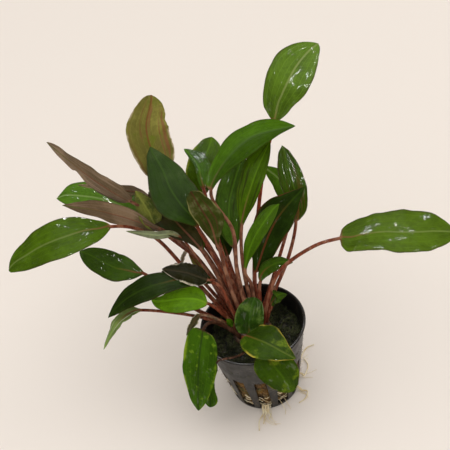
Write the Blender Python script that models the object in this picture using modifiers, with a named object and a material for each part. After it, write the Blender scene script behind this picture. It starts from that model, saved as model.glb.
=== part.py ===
"""A potted cryptocoryne: an aquarium plant with about thirty leaves in a small net pot.

The pot stands on z = 0 with its axis on the Z axis. Lengths are in millimetres in the named
values and become metres with MM. The front of the plant faces -Y.
"""

import math

import bmesh
import bpy
from mathutils import Matrix, Vector

MM = 0.001

# Net pot: a 5 cm aquarium pot
POT_HEIGHT = 50.0
RIM_RADIUS = 27.5
WALL_TOP_RADIUS = 27.0
WALL_BASE_RADIUS = 18.2
WALL = 1.0
RIM_BEAD = 1.6
RIM_ROUNDING = 0.4
POT_SIDES = 44
SLOTS = 12
SLOT_WIDTH = 6.3
SLOT_BOTTOM = 1.8
SLOT_TOP = 28.0
SLOT_TURN = 21.0
SLOT_CUT_DEPTH = 10.0
BASE_PLATE = 1.5
BASE_OPENINGS = 6
BASE_DISC_RADIUS = 9.0
BASE_OPENING_REACH = 15.8
BASE_SPOKE = 3.2

# Mineral wool plug and rootstock
GAP = 0.3
PLUG_BOTTOM_RADIUS = 12.5
PLUG_HEEL = 5.0
PLUG_SHOULDER = 38.0
PLUG_TOP = 41.5
PLUG_TOP_RADIUS = 21.0
CROWN_RADIUS = 10.5
CROWN_HEIGHT = 2.2
CROWN_CENTRE = (-1.0, 1.5)

# Leaves
STALK_SIDES = 8
STALK_STEPS = 4
BLADE_STEPS = 7
STALK_RADIUS = 0.95
NECK_RADIUS = 0.75
BLADE_HALF_THICKNESS = 0.32
BLADE_END = 0.985
FOOT_LIFT = 1.3
FOOT_SPACING = 2.7
FOOT_MARGIN = 1.0
FOOT_ROUNDS = 300
FAN_CENTRE = (0.0, -3.0)
FAN_DEPTH = 12.0

# Roots
ROOT_RADIUS = 0.45
ROOT_STEPS = 3
ROOT_FLOOR = ROOT_RADIUS + 0.05

GREEN = (0.10, 0.25, 0.03)
DEEP_GREEN = (0.05, 0.14, 0.03)
LIME = (0.20, 0.38, 0.04)
PURPLE_BROWN = (0.16, 0.09, 0.05)
OLIVE = (0.22, 0.20, 0.05)
STRAW = (0.45, 0.36, 0.18)


def clear_scene():
    for obj in list(bpy.data.objects):
        bpy.data.objects.remove(obj)


def make_collection(name):
    collection = bpy.data.collections.new(name)
    bpy.context.scene.collection.children.link(collection)
    return collection


def make_material(name, colour, roughness):
    material = bpy.data.materials.new(name)
    material.use_nodes = True
    shader = material.node_tree.nodes["Principled BSDF"]
    shader.inputs["Base Color"].default_value = (*colour, 1.0)
    shader.inputs["Roughness"].default_value = roughness
    shader.inputs["Metallic"].default_value = 0.0
    return material


def add_mesh(name, mesh_builder, collection, material=None):
    mesh = bpy.data.meshes.new(name)
    mesh_builder.normal_update()
    mesh_builder.to_mesh(mesh)
    mesh_builder.free()
    obj = bpy.data.objects.new(name, mesh)
    collection.objects.link(obj)
    if material:
        mesh.materials.append(material)
    return obj


def smooth(obj, angle=35.0):
    obj.data.shade_smooth()
    obj.data.set_sharp_from_angle(angle=math.radians(angle))


def turned(name, profile, steps, collection, material):
    """A solid turned about Z from a profile of (radius, height) in mm that starts and ends on Z."""
    builder = bmesh.new()
    points = [builder.verts.new((radius * MM, 0.0, height * MM)) for radius, height in profile]
    for first, second in zip(points, points[1:]):
        builder.edges.new((first, second))
    obj = add_mesh(name, builder, collection, material)
    screw = obj.modifiers.new("turn", "SCREW")
    screw.axis = "Z"
    screw.steps = steps
    screw.render_steps = steps
    screw.use_merge_vertices = True
    screw.merge_threshold = 0.00001
    return obj


def wall_radius(height):
    """Outer radius of the pot wall at a height."""
    return WALL_BASE_RADIUS + (WALL_TOP_RADIUS - WALL_BASE_RADIUS) * height / POT_HEIGHT


def make_pot(parts, cutters, material):
    """A thin-walled pot with a bead round its rim, slots in its wall and openings in its base."""
    bead_bottom = POT_HEIGHT - RIM_BEAD
    profile = [
        (0.0, BASE_PLATE),
        (wall_radius(BASE_PLATE) - WALL, BASE_PLATE),
        (wall_radius(SLOT_TOP) - WALL, SLOT_TOP),
        (WALL_TOP_RADIUS - WALL, POT_HEIGHT),
        (RIM_RADIUS - RIM_ROUNDING, POT_HEIGHT),
        (RIM_RADIUS, POT_HEIGHT - RIM_ROUNDING),
        (RIM_RADIUS, bead_bottom + RIM_ROUNDING),
        (wall_radius(bead_bottom), bead_bottom),
        (wall_radius(SLOT_TOP), SLOT_TOP),
        (wall_radius(SLOT_BOTTOM), SLOT_BOTTOM),
        (WALL_BASE_RADIUS, 0.0),
        (0.0, 0.0),
    ]
    pot = turned("pot", profile, POT_SIDES, parts, material)
    slots = bmesh.new()
    for index in range(SLOTS):
        add_slot(slots, index)
    cut_with(pot, add_mesh("slot_cutter", slots, cutters), "slots")
    openings = bmesh.new()
    for index in range(BASE_OPENINGS):
        add_base_opening(openings, index)
    cut_with(pot, add_mesh("base_cutter", openings, cutters), "base_openings")
    smooth(pot)


def add_slot(builder, index):
    """One upright slot: a box that passes through the wall."""
    turn = math.radians(-90.0 + SLOT_TURN + index * 360.0 / SLOTS)
    middle = (SLOT_BOTTOM + SLOT_TOP) / 2
    size = Vector((SLOT_CUT_DEPTH, SLOT_WIDTH, SLOT_TOP - SLOT_BOTTOM)) * MM
    place = Vector((wall_radius(middle) - WALL / 2, 0.0, middle)) * MM
    made = bmesh.ops.create_cube(builder, size=1.0)["verts"]
    bmesh.ops.scale(builder, verts=made, vec=size)
    bmesh.ops.translate(builder, verts=made, vec=place)
    bmesh.ops.rotate(builder, verts=made, cent=(0.0, 0.0, 0.0), matrix=Matrix.Rotation(turn, 3, "Z"))


def add_base_opening(builder, index):
    """One opening of the base plate: a ring sector between two parallel spokes."""
    centre = 2 * math.pi * index / BASE_OPENINGS
    corners = []
    for radius, order in ((BASE_DISC_RADIUS, 1), (BASE_OPENING_REACH, -1)):
        spread = math.pi / BASE_OPENINGS - math.asin(BASE_SPOKE / 2 / radius)
        for step in (-1.0, -0.5, 0.0, 0.5, 1.0):
            corners.append((radius * MM, centre + order * step * spread))
    lower = [builder.verts.new((r * math.cos(a), r * math.sin(a), -BASE_PLATE * MM)) for r, a in corners]
    face = builder.faces.new(lower)
    grown = bmesh.ops.extrude_face_region(builder, geom=[face])
    top = [item for item in grown["geom"] if isinstance(item, bmesh.types.BMVert)]
    bmesh.ops.translate(builder, verts=top, vec=(0.0, 0.0, 3 * BASE_PLATE * MM))
    bmesh.ops.recalc_face_normals(builder, faces=builder.faces[:])


def cut_with(target, cutter, name):
    cutter.hide_render = True
    cutter.display_type = "WIRE"
    boolean = target.modifiers.new(name, "BOOLEAN")
    boolean.operation = "DIFFERENCE"
    boolean.solver = "EXACT"
    boolean.object = cutter


def make_rockwool(parts, material):
    """The plug fills the pot from the base plate to a little below the rim."""
    bottom = BASE_PLATE + GAP

    def inside(height):
        return wall_radius(height) - WALL - GAP - 0.1

    profile = [
        (0.0, PLUG_TOP),
        (PLUG_TOP_RADIUS, PLUG_TOP - 0.5),
        (inside(PLUG_SHOULDER) - 0.9, PLUG_SHOULDER + 1.8),
        (inside(PLUG_SHOULDER), PLUG_SHOULDER),
        (inside(PLUG_HEEL), PLUG_HEEL),
        (PLUG_BOTTOM_RADIUS, bottom),
        (0.0, bottom),
    ]
    plug = turned("rockwool", profile, 32, parts, material)
    smooth(plug)


def make_crown(parts, material):
    """A low rootstock on top of the plug, which all the stalks grow from."""
    bottom = PLUG_TOP + GAP
    profile = [
        (0.0, bottom + CROWN_HEIGHT),
        (CROWN_RADIUS * 0.8, bottom + CROWN_HEIGHT - 0.1),
        (CROWN_RADIUS, bottom + CROWN_HEIGHT * 0.4),
        (CROWN_RADIUS, bottom),
        (0.0, bottom),
    ]
    crown = turned("crown", profile, 20, parts, material)
    crown.location = (CROWN_CENTRE[0] * MM, CROWN_CENTRE[1] * MM, 0.0)
    smooth(crown, 50.0)


def spline_point(points, position):
    """A point on the Catmull-Rom curve through the points; position counts in points."""
    index = min(int(position), len(points) - 2)
    part = position - index
    b, c = points[index], points[index + 1]
    a = points[index - 1] if index > 0 else 2 * b - c
    d = points[index + 2] if index + 2 < len(points) else 2 * c - b
    return 0.5 * (
        2 * b + (c - a) * part
        + (2 * a - 5 * b + 4 * c - d) * part ** 2
        + (3 * b - a - 3 * c + d) * part ** 3
    )


def blade_outline(along, rise, widest):
    """Half width of a blade as a share of its greatest, from its neck (0) to its tip (1)."""
    fall = rise * (1 - widest) / widest
    return (along / widest) ** rise * ((1 - along) / (1 - widest)) ** fall


def leaf(name, neck, middle, tip, width, face, stalk=None, fold=10.0, tip_face=None,
         bow=0.12, stalk_radius=STALK_RADIUS, colour=GREEN, base=0.62, widest=0.42):
    """What one leaf is made from.

    neck, middle and tip are points of the blade's midrib in mm, and stalk the points that the
    stalk passes on its way up; without them it rises in one bow. face is the way that the upper
    side looks, and tip_face the same at the tip. fold lifts both halves of the blade, in degrees,
    base is smaller for a rounder blade base, and widest is where along the blade it is broadest.
    """
    return {
        "name": name, "neck": Vector(neck), "middle": Vector(middle), "tip": Vector(tip),
        "width": width, "face": Vector(face).normalized(),
        "tip_face": Vector(tip_face or face).normalized(),
        "stalk": [Vector(point) for point in stalk or ()],
        "fold": math.radians(fold), "bow": bow, "stalk_radius": stalk_radius,
        "colour": colour, "base": base, "widest": widest,
    }


def left_leaves():
    return [
        leaf("leaf_far_left", (-59, 39, 102), (-85, 30, 106), (-117, 37, 90), width=22,
             face=(0.1, -0.4, 0.9), stalk=[(-24, 24, 65), (-40, 42, 86)], fold=3),
        leaf("leaf_left_purple_high", (-46.6, 48, 108), (-64, 59, 122), (-83.5, 85, 130), width=19,
             face=(0.70, 0.72, 0.01), stalk=[(-16.5, 35, 75), (-33.5, 50.2, 89.5)], colour=PURPLE_BROWN),
        leaf("leaf_left_green_behind", (-40.2, 52.5, 84), (-61.2, 71.8, 90.5), (-90.2, 86.6, 89.5), width=24,
             face=(0.0, -0.4, 0.9), stalk=[(-18.5, 35, 64), (-30, 46, 75)]),
        leaf("leaf_left_purple_strip", (-38, 63.5, 94), (-52, 69.5, 99), (-75.3, 79.9, 101), width=9,
             face=(0.2, 0.95, 0.1), stalk=[(-14.8, 37.8, 74.5)], colour=PURPLE_BROWN),
        leaf("leaf_left_purple_low", (-34.5, 38.1, 93), (-57.6, 51.3, 100), (-84, 64.9, 102), width=15,
             face=(0.3, 0.9, 0.0), stalk=[(-19, 30.6, 71.5)], colour=PURPLE_BROWN),
        leaf("leaf_left_middle", (-49, 27, 76), (-65, 35, 80), (-82, 54, 77), width=15,
             face=(0.1, -0.3, 0.95), stalk=[(-26, 13, 54), (-38, 22, 61)], colour=DEEP_GREEN),
        leaf("leaf_left_dark_broad", (-15, 12, 73), (-43, 11, 77), (-73, 14, 63), width=16,
             face=(0.0, -0.3, 0.95), fold=3, colour=DEEP_GREEN),
        leaf("leaf_left_torn", (-25, 33.6, 63), (-33, 33.6, 66.4), (-41, 36, 65.6), width=9,
             face=(0.0, -0.2, 0.95), stalk=[(-15, 21, 52)], fold=8, colour=DEEP_GREEN),
        leaf("leaf_left_bright_low", (-20, 8, 63), (-34, 13, 67), (-49, 19, 64), width=19,
             face=(0.0, -0.5, 0.85), fold=4, colour=LIME),
        leaf("leaf_left_withered", (-55, 18, 59), (-67, 16, 59), (-80, 10, 44), width=7,
             face=(0.0, -0.3, 0.9), stalk=[(-26, 8, 54.5)], fold=30, colour=STRAW),
        leaf("dry_scrap", (-25, 5, 59), (-30, 4, 55), (-35, 2, 49), width=4,
             face=(0.3, -0.8, 0.5), stalk=[(-16, 1, 56)], fold=35, stalk_radius=0.7, colour=STRAW),
    ]


def back_leaves():
    return [
        leaf("leaf_back_old_twisted", (-28, 64, 102), (-31, 82, 123), (-24, 96, 136), width=21,
             face=(0.4, -0.6, 0.4), tip_face=(0.2, -0.8, 0.5), stalk=[(-14.2, 44.2, 74)], fold=12,
             colour=OLIVE),
        leaf("leaf_back_dark_broad", (-16, 29.8, 96), (-24, 46.8, 110), (-31, 73, 121), width=24,
             face=(0.2, -0.7, 0.7), stalk=[(-9.5, 19.5, 72)], fold=8, colour=DEEP_GREEN),
        leaf("leaf_back_dark_under", (-17, 26, 84), (-26, 40.5, 92.5), (-38, 64, 98.5), width=15,
             face=(0.1, -0.5, 0.8), stalk=[(-11, 15, 68)], colour=DEEP_GREEN),
        leaf("leaf_centre_purple", (-8, 19, 90.5), (-11, 28, 104), (-15, 36, 116), width=17,
             face=(0.2, 0.8, -0.4), stalk=[(-6.5, 9, 66)], fold=16, colour=PURPLE_BROWN),
        leaf("leaf_back_light_round", (-9, 51, 98), (-6, 60, 110), (2, 72, 118), width=20,
             face=(0.0, -0.6, 0.7), stalk=[(-5, 24, 72)], colour=LIME),
        leaf("leaf_back_small_folded", (-8.6, 46.5, 106), (-8.8, 57, 114), (-14, 67.5, 118), width=11,
             face=(0.3, -0.7, 0.6), stalk=[(-6, 18, 74)], fold=25),
        leaf("leaf_back_arching", (-5, 35, 114), (17, 45, 131), (44, 49, 130), width=20,
             face=(0.0, -0.35, 0.9), stalk=[(-1.8, 14, 72), (1, 25, 93)], fold=-20, colour=LIME),
        leaf("leaf_back_folded_tall", (6, 27, 93), (16, 36, 111), (30, 50, 124), width=17,
             face=(-0.5, -0.6, 0.5), stalk=[(1.8, 17, 71)], fold=20),
        leaf("leaf_back_blue_dark", (-0.3, 24.3, 82), (2.2, 39.8, 97), (15.5, 58, 114), width=13,
             face=(-0.1, -0.6, 0.7), stalk=[(-1.5, 15, 64)], colour=DEEP_GREEN),
        leaf("leaf_top_right", (35, 61, 126), (43, 66, 144), (65, 79, 155), width=25,
             face=(-0.1, -0.6, 0.8), stalk=[(9, 24, 72), (24, 51, 107)], fold=12, colour=LIME,
             base=0.8, widest=0.52),
    ]


def right_leaves():
    return [
        leaf("leaf_right_long", (51, 3, 92), (77, -7, 98), (106, -10, 91), width=25,
             face=(0.0, -0.2, 0.97), stalk=[(10, 2, 61), (19, 6, 76), (36, 6, 87)], fold=8, base=0.42),
        leaf("leaf_right_striped", (33.8, 30.4, 84), (36, 41, 100), (36, 60.9, 111), width=16,
             face=(0.2, -0.6, 0.7), stalk=[(15, 13, 55), (26, 22, 68)]),
        leaf("leaf_right_narrow_behind", (33.1, 49.4, 72), (32.6, 59.4, 86), (24.3, 65.9, 96), width=11,
             face=(0.1, -0.6, 0.7), stalk=[(18, 26, 56)]),
        leaf("leaf_right_dark", (7.3, 17, 68), (23.4, 25.8, 88), (42, 32.5, 105), width=20,
             face=(0.3, -0.6, 0.7), fold=14, colour=DEEP_GREEN),
        leaf("leaf_right_light_front", (2.6, 14, 75), (12.4, 20.4, 92), (27, 26, 103), width=12,
             face=(-0.4, -0.6, 0.6), stalk=[(4, 11.3, 64)], fold=12, colour=LIME),
        leaf("leaf_right_small_low", (9, 11, 67), (18, 11, 73), (27, 9, 77), width=8,
             face=(0.0, -0.4, 0.9), fold=12),
        leaf("leaf_right_in_pot", (12, 5, 53), (16, 4, 57), (21, 8, 56), width=9,
             face=(0.0, -0.2, 0.97), fold=12, stalk_radius=0.7),
    ]


def front_leaves():
    return [
        leaf("leaf_front_left_hanging", (-25, -6, 60), (-34, -16.5, 42), (-38, -23.5, 18), width=17,
             face=(-0.5, -0.8, 0.4), stalk=[(-17, -3, 59)], fold=-3, base=0.5),
        leaf("leaf_front_left_behind", (-22.8, -18, 46), (-30, -11.7, 24), (-32.3, -16.3, 9.5), width=8,
             face=(-0.4, -0.8, 0.3), stalk=[(-3, -17, 51), (-11, -22.5, 53.5), (-18.8, -21.6, 52.6)], fold=-8,
             stalk_radius=0.7, colour=DEEP_GREEN),
        leaf("leaf_front_centre_spoon", (-3, -7.6, 51), (-0.6, -5.1, 60), (4, -0.4, 69), width=14,
             face=(0.0, -0.8, 0.6), fold=-8, colour=DEEP_GREEN, base=0.5),
        leaf("leaf_front_yellow_edged", (-6, -13, 55), (4, -24, 59), (17, -34, 55), width=19,
             face=(0.2, -0.3, 0.9), fold=6, colour=LIME, base=0.5),
        leaf("leaf_front_over_rim", (3, -24, 55), (8, -33, 48), (12, -35, 31), width=20,
             face=(0.1, -0.9, 0.4), fold=-6, base=0.5),
    ]


def stalk_feet(leaves):
    """Feet of the stalks on the crown, in mm.

    Each lies where a straight line from a point below the crown to the stalk's next point passes
    the crown's top. They are then pushed apart until the stalks have room beside each other.
    """
    height = PLUG_TOP + GAP + CROWN_HEIGHT + FOOT_LIFT
    fan_centre = Vector((*FAN_CENTRE, height - FAN_DEPTH))
    centre = Vector((*CROWN_CENTRE, height))
    feet = []
    for item in leaves:
        target = (item["stalk"] or [item["neck"]])[0]
        line = target - fan_centre
        feet.append(fan_centre + line * (FAN_DEPTH / line.z))
    for _ in range(FOOT_ROUNDS):
        for index, foot in enumerate(feet):
            for other in feet[:index]:
                apart = foot - other
                lack = FOOT_SPACING - apart.length
                if lack > 0.0:
                    push = apart.normalized() * lack / 2
                    foot += push
                    other -= push
        for foot in feet:
            outward = foot - centre
            if outward.length > CROWN_RADIUS - FOOT_MARGIN:
                foot += outward.normalized() * (CROWN_RADIUS - FOOT_MARGIN - outward.length)
    return feet


def leaf_midrib(item, foot):
    """Points that a leaf's midrib passes, from its foot to its tip."""
    stalk = item["stalk"]
    if not stalk:
        line = item["neck"] - foot
        upward = Vector((0.0, 0.0, 1.0)) - line * (line.z / line.length_squared)
        stalk = [foot + line / 2 + upward * item["bow"] * line.length]
    return [foot, *stalk, item["neck"], item["middle"], item["tip"]]


def leaf_solid(item, midrib):
    """One leaf, lofted along its midrib: a round stalk that opens into a thin folded blade."""
    neck_at = len(midrib) - 3
    stations = [neck_at * step / STALK_STEPS for step in range(STALK_STEPS)]
    stations += [neck_at + 2 * step / BLADE_STEPS for step in range(BLADE_STEPS)]
    stations.append(neck_at + 2 * BLADE_END)
    builder = bmesh.new()
    rings = []
    for at in stations:
        centre = spline_point(midrib, at)
        heading = spline_point(midrib, at + 0.02) - spline_point(midrib, max(0.0, at - 0.02))
        heading.normalize()
        along = max(0.0, (at - neck_at) / 2)
        up = item["face"].lerp(item["tip_face"], along)
        up = (up - up.dot(heading) * heading).normalized()
        side = heading.cross(up)
        if at < neck_at:
            half_width = item["stalk_radius"] + (NECK_RADIUS - item["stalk_radius"]) * at / neck_at
            half_height = half_width
        else:
            half_width = math.hypot(NECK_RADIUS * (1 - along),
                                    item["width"] / 2 * blade_outline(along, item["base"],
                                                                      item["widest"]))
            half_height = NECK_RADIUS + (BLADE_HALF_THICKNESS - NECK_RADIUS) * min(1.0, along * 4)
        ring = []
        for corner in range(STALK_SIDES):
            angle = 2 * math.pi * corner / STALK_SIDES
            across = half_width * math.cos(angle)
            height = half_height * math.sin(angle)
            height += abs(across) * math.tan(item["fold"]) * min(1.0, along * 6)
            ring.append(builder.verts.new((centre + side * across + up * height) * MM))
        rings.append(ring)
    for lower, upper in zip(rings, rings[1:]):
        for corner in range(STALK_SIDES):
            following = (corner + 1) % STALK_SIDES
            builder.faces.new((lower[corner], lower[following], upper[following], upper[corner]))
    builder.faces.new(reversed(rings[0]))
    builder.faces.new(rings[-1])
    bmesh.ops.recalc_face_normals(builder, faces=builder.faces[:])
    return builder


def root(name, route, parts, material):
    """A root as a tube through points in mm."""
    curve = bpy.data.curves.new(name, "CURVE")
    curve.dimensions = "3D"
    curve.bevel_depth = ROOT_RADIUS * MM
    curve.bevel_resolution = 2
    curve.use_fill_caps = True
    spline = curve.splines.new("POLY")
    count = ROOT_STEPS * (len(route) - 1)
    spline.points.add(count)
    for index in range(count + 1):
        place = spline_point(route, index / ROOT_STEPS)
        place.z = max(place.z, ROOT_FLOOR)
        spline.points[index].co = (*place * MM, 1.0)
    obj = bpy.data.objects.new(name, curve)
    curve.materials.append(material)
    parts.objects.link(obj)


def slot_way_out(slot, side):
    """Points of a root that leaves a slot and comes down to the table, side mm off its middle."""
    turn = math.radians(-90.0 + SLOT_TURN + slot * 360.0 / SLOTS)
    outward = Vector((math.cos(turn), math.sin(turn), 0.0))
    across = Vector((-math.sin(turn), math.cos(turn), 0.0))
    sill = SLOT_BOTTOM + ROOT_RADIUS + GAP + 0.1
    foot = WALL_BASE_RADIUS + 2 * ROOT_RADIUS
    steps = [(foot - 3.5, sill), (foot - 1.0, sill), (foot + 0.9, sill - 0.8), (foot + 2.3, ROOT_FLOOR)]
    return [outward * radius + across * side + Vector((0.0, 0.0, height)) for radius, height in steps]


def make_roots(parts, material):
    """Pale roots that come out of the slots and lie on the table, each a piece of its own."""
    routes = {
        "root_front_left": (-1, -2.0, [(-8.5, -25.5), (-9.5, -31.0)]),
        "root_front_middle": (-1, -0.6, [(-5.2, -23.5), (-6.5, -27.5)]),
        "root_front_right": (-1, 0.8, [(-1.8, -22.5), (-3.0, -25.5)]),
        "root_right_loop": (1, 2.1, [(20.5, -13.5), (18.5, -17.5), (14.5, -19.5)]),
        "root_right_near": (2, 1.0, [(24.5, 3.5), (23.5, 9.0)]),
        "root_right_far": (3, 0.0, [(26.0, 15.5), (31.0, 17.0)]),
    }
    for name, (slot, side, trail) in routes.items():
        lying = [Vector((x, y, ROOT_FLOOR)) for x, y in trail]
        root(name, slot_way_out(slot, side) + lying, parts, material)


def make_leaves(parts):
    leaves = left_leaves() + back_leaves() + right_leaves() + front_leaves()
    for item, foot in zip(leaves, stalk_feet(leaves)):
        material = make_material(item["name"], item["colour"], 0.35)
        smooth(add_mesh(item["name"], leaf_solid(item, leaf_midrib(item, foot)), parts, material), 60.0)


def main():
    clear_scene()
    parts = make_collection("potted_cryptocoryne")
    cutters = make_collection("cutters")
    make_pot(parts, cutters, make_material("black_plastic", (0.03, 0.03, 0.035), 0.45))
    make_rockwool(parts, make_material("rockwool", (0.05, 0.05, 0.02), 0.95))
    make_crown(parts, make_material("crown", (0.12, 0.05, 0.03), 0.7))
    make_leaves(parts)
    make_roots(parts, make_material("root", (0.65, 0.55, 0.33), 0.6))


main()
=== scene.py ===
"""A cryptocoryne in a black net pot: leaves, stalks, moss, mineral wool and roots."""
import math
import random

import bmesh
import bpy
from mathutils import Matrix, Vector, noise


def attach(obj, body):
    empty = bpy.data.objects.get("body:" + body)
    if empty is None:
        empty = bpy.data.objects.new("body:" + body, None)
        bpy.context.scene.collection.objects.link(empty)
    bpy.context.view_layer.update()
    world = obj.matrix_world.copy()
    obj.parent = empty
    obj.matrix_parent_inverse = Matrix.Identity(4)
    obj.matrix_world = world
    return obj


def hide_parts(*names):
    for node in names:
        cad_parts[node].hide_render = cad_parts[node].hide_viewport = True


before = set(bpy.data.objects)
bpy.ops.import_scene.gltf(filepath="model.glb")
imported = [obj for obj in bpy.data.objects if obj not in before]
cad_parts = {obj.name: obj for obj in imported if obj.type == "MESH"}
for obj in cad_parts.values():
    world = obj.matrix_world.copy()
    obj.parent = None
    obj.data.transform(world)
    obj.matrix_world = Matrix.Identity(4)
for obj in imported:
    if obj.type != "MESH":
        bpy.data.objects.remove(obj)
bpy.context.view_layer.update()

MM = 0.001
UP = Vector((0.0, 0.0, 1.0))

# How far before and after a place on a curve its heading is read, in points of the curve
HEADING_STEP = 0.02

# Pot, in mm and degrees
POT_HEIGHT = 50.0
RIM_RADIUS = 27.5
RIM_BEAD = 1.6
WALL_TOP_RADIUS = 27.0
WALL_BASE_RADIUS = 18.2
WALL = 1.0
SLOTS = 12
SLOT_WIDTH = 6.3
SLOT_BOTTOM = 1.8
SLOT_TOP = 28.0
SLOT_TURN = 21.0
BASE_PLATE = 1.5
BASE_OPENINGS = 6
BASE_DISC_RADIUS = 9.0
BASE_OPENING_REACH = 15.8
BASE_SPOKE = 3.2
SOFT_EDGE = 0.22
FOOT_ROW = 0.6

# Rows and columns of the pot's mesh
SLOT_ROWS = 8
BAND_ROWS = 6
BEAD_ROWS = 9
SLOT_COLUMNS = 6
BAR_COLUMNS = 6
SPOKE_COLUMNS = 2
OPENING_COLUMNS = 8
SECTOR_COLUMNS = SLOT_COLUMNS + BAR_COLUMNS
PLATE_SECTOR = SPOKE_COLUMNS + OPENING_COLUMNS
BASE_RINGS = (3.0, 6.0, BASE_DISC_RADIUS, 11.2, 13.5, BASE_OPENING_REACH, 17.4)

# Mineral wool, moss and rootstock, in mm and degrees
PLUG_TOP = 41.5
PLUG_TOP_RADIUS = 21.0
PLUG_SHOULDER = 38.0
PLUG_HEEL = 5.0
PLUG_BOTTOM = 1.8
PLUG_BOTTOM_RADIUS = 12.5
PLUG_CLEARANCE = 1.4
SLOT_SWELL = 0.75
PLUG_TURNS = 240
PLUG_TOP_STEPS = 16
PLUG_FLANK_STEPS = 40
MOSS_START = 34.0
LEAFLET_TURN = 137.5
GAP = 0.3
CROWN_CENTRE = (-1.0, 1.5)
CROWN_RADIUS = 10.5
CROWN_HEIGHT = 2.2
CROWN_SIDES = 60
CROWN_PROFILE = (
    (10.4, 0.0), (10.4, 0.7), (9.4, 1.6), (8.0, 2.1), (6.0, 2.3), (4.0, 2.4), (2.0, 2.5), (0.4, 2.5),
)

# Stalks and their feet on the rootstock, in mm; bow and swell are shares
STALK_RADIUS = 1.1
STALK_BOW = 0.12
NECK_RADIUS = 0.85
FOOT_SWELL = 0.18
FOOT_LIFT = 1.3
FOOT_SPACING = 2.7
FOOT_MARGIN = 1.0
FOOT_ROUNDS = 300
FAN_CENTRE = (0.0, -3.0)
FAN_DEPTH = 12.0

# Blades, in mm; the outline's places and the spacing of veins are shares of length and half width
BLADE_HALF = 0.17
BLADE_END = 0.985
LEAST_WIDTH = 0.02
PLAIN_RISE = 0.62
PLAIN_WIDEST = 0.42
OUTLINE_PLACES = (0.0, 0.02, 0.12, 0.25, 0.4, 0.55, 0.7, 0.82, 0.92, 0.98, 1.0)
VEIN_SPACING = 0.27
RUNG_SLANT = 0.8
COARSE_TEETH = 26.0
FINE_TEETH = 61.0
FOLD_SOFTNESS = 1.6
ROLL = 0.35
QUILT = 0.09
RIB_HALF = 0.55
GROOVE = 0.14
GROOVE_HALF = 0.5

# Rings of a leaf's mesh, and what its points are marked with: share runs over the half width from
# -1 to 1, reach along stalk (-1 to 0) and blade (0 to 1), top is 1 on the upper side, wide and
# ladder are mm from the midrib and along the slanting rungs between the veins
RING_POINTS = 56
STALK_RINGS = 26
BLADE_RINGS = 58
LEAF_MARKS = ("share", "reach", "top", "wide", "ladder")

# A leaf where its own entry says nothing else, in mm and degrees: fold lifts both halves of the
# blade, cup lowers their margins, wave ripples them, ragged roughens their outline, and rib stands
# out below. centring moves the midrib from the line of its points to the middle of the blade.
# notch is a tear: its side, place, depth and length along the blade.
PLAIN_LEAF = {
    "radius": STALK_RADIUS, "fold": 10.0, "cup": 0.5, "wave": 0.28, "waves": 3.0, "ragged": 0.008,
    "rib": 0.55, "centring": 1.0, "notch": None,
}

# Roots, in mm, how many rootlets there are, and the seed of their random numbers
ROOT_RADIUS = 0.45
ROOT_FLOOR = 0.5
ROOTLET_STEP = 1.6
FOOT_ROOTLETS = 9
WOOL_ROOTLETS = 44
ROOTLET_SIDES = 6
ROOTLET_RINGS = 26
ROOTLET_DRAWS = 17
LEAST_HEIGHT = 0.03

# Camera, in mm, and its right, down and ahead directions
CAMERA_PLACE = (-2.2, -342.2, 439.0)
CAMERA_AXES = ((0.9732, -0.1567, -0.1686), (-0.2301, -0.6623, -0.7130), (0.0, 0.7325, -0.6807))
CAMERA_LENS = 80.0
CAMERA_SENSOR = 36.0

# Floor and light, in m and W
FLOOR_REACH = 30.0
FLOOR_COLOUR = (0.84, 0.765, 0.70)
LIGHT_COLOUR = (1.0, 0.985, 0.96)
SKY_STRENGTH = 0.78

# Soft cloths that don't show in gloss: place, what each aims at, size and power
CLOTHS = (
    ("ceiling_cloth", (0.0, 0.10, 2.4), (0.0, 0.0, 0.0), 3.4, 20.0),
    ("right_cloth", (1.5, 0.50, 1.7), (0.0, 0.0, 0.05), 1.5, 5.0),
)

# Rows of thin tubes under the ceiling, which show in gloss alone and give wet leaves their glints
TUBE_PLACES = (-1.3, -0.8, -0.3, 0.2, 0.7, 1.2)
TUBE_MIDDLE = 0.2
TUBE_HEIGHT = 2.3
TUBE_LENGTH = 2.6
TUBE_WIDTH = 0.016
TUBE_POWER = 22.0

# Stalk colours, as the light that a shader takes
STALK_RED = (0.195, 0.046, 0.021)
STALK_TAN = (0.36, 0.17, 0.095)
STALK_BRIGHT = (0.33, 0.055, 0.020)
STALK_PALE = (0.20, 0.075, 0.042)


# Shapes shared by several pieces


def as_light(red, green, blue):
    """A colour as it looks on a screen, 0 to 255, turned into the light that a shader takes."""
    return tuple(((value / 255 + 0.055) / 1.055) ** 2.4 for value in (red, green, blue))


def shade(colour, factor):
    """A colour made darker or lighter."""
    return tuple(min(1.0, value * factor) for value in colour)


def spline_point(points, position):
    """A point on the Catmull-Rom curve through the points; position counts in points."""
    index = min(int(position), len(points) - 2)
    part = position - index
    b, c = points[index], points[index + 1]
    a = points[index - 1] if index > 0 else 2 * b - c
    d = points[index + 2] if index + 2 < len(points) else 2 * c - b
    return 0.5 * (
        2 * b + (c - a) * part
        + (2 * a - 5 * b + 4 * c - d) * part ** 2
        + (3 * b - a - 3 * c + d) * part ** 3
    )


def smooth_share(value):
    """0 below 0, 1 above 1, and a soft step between."""
    value = min(1.0, max(0.0, value))
    return value * value * (3.0 - 2.0 * value)


def wall_radius(height):
    """Outer radius of the pot wall at a height."""
    return WALL_BASE_RADIUS + (WALL_TOP_RADIUS - WALL_BASE_RADIUS) * height / POT_HEIGHT


def around(turn, radius=1.0, height=0.0):
    """A point around the pot's axis, or with the turn alone the way out to it."""
    return Vector((math.cos(turn) * radius, math.sin(turn) * radius, height))


def in_scene(name, data):
    """A new object for the data, in the scene."""
    obj = bpy.data.objects.new(name, data)
    bpy.context.scene.collection.objects.link(obj)
    return obj


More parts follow.
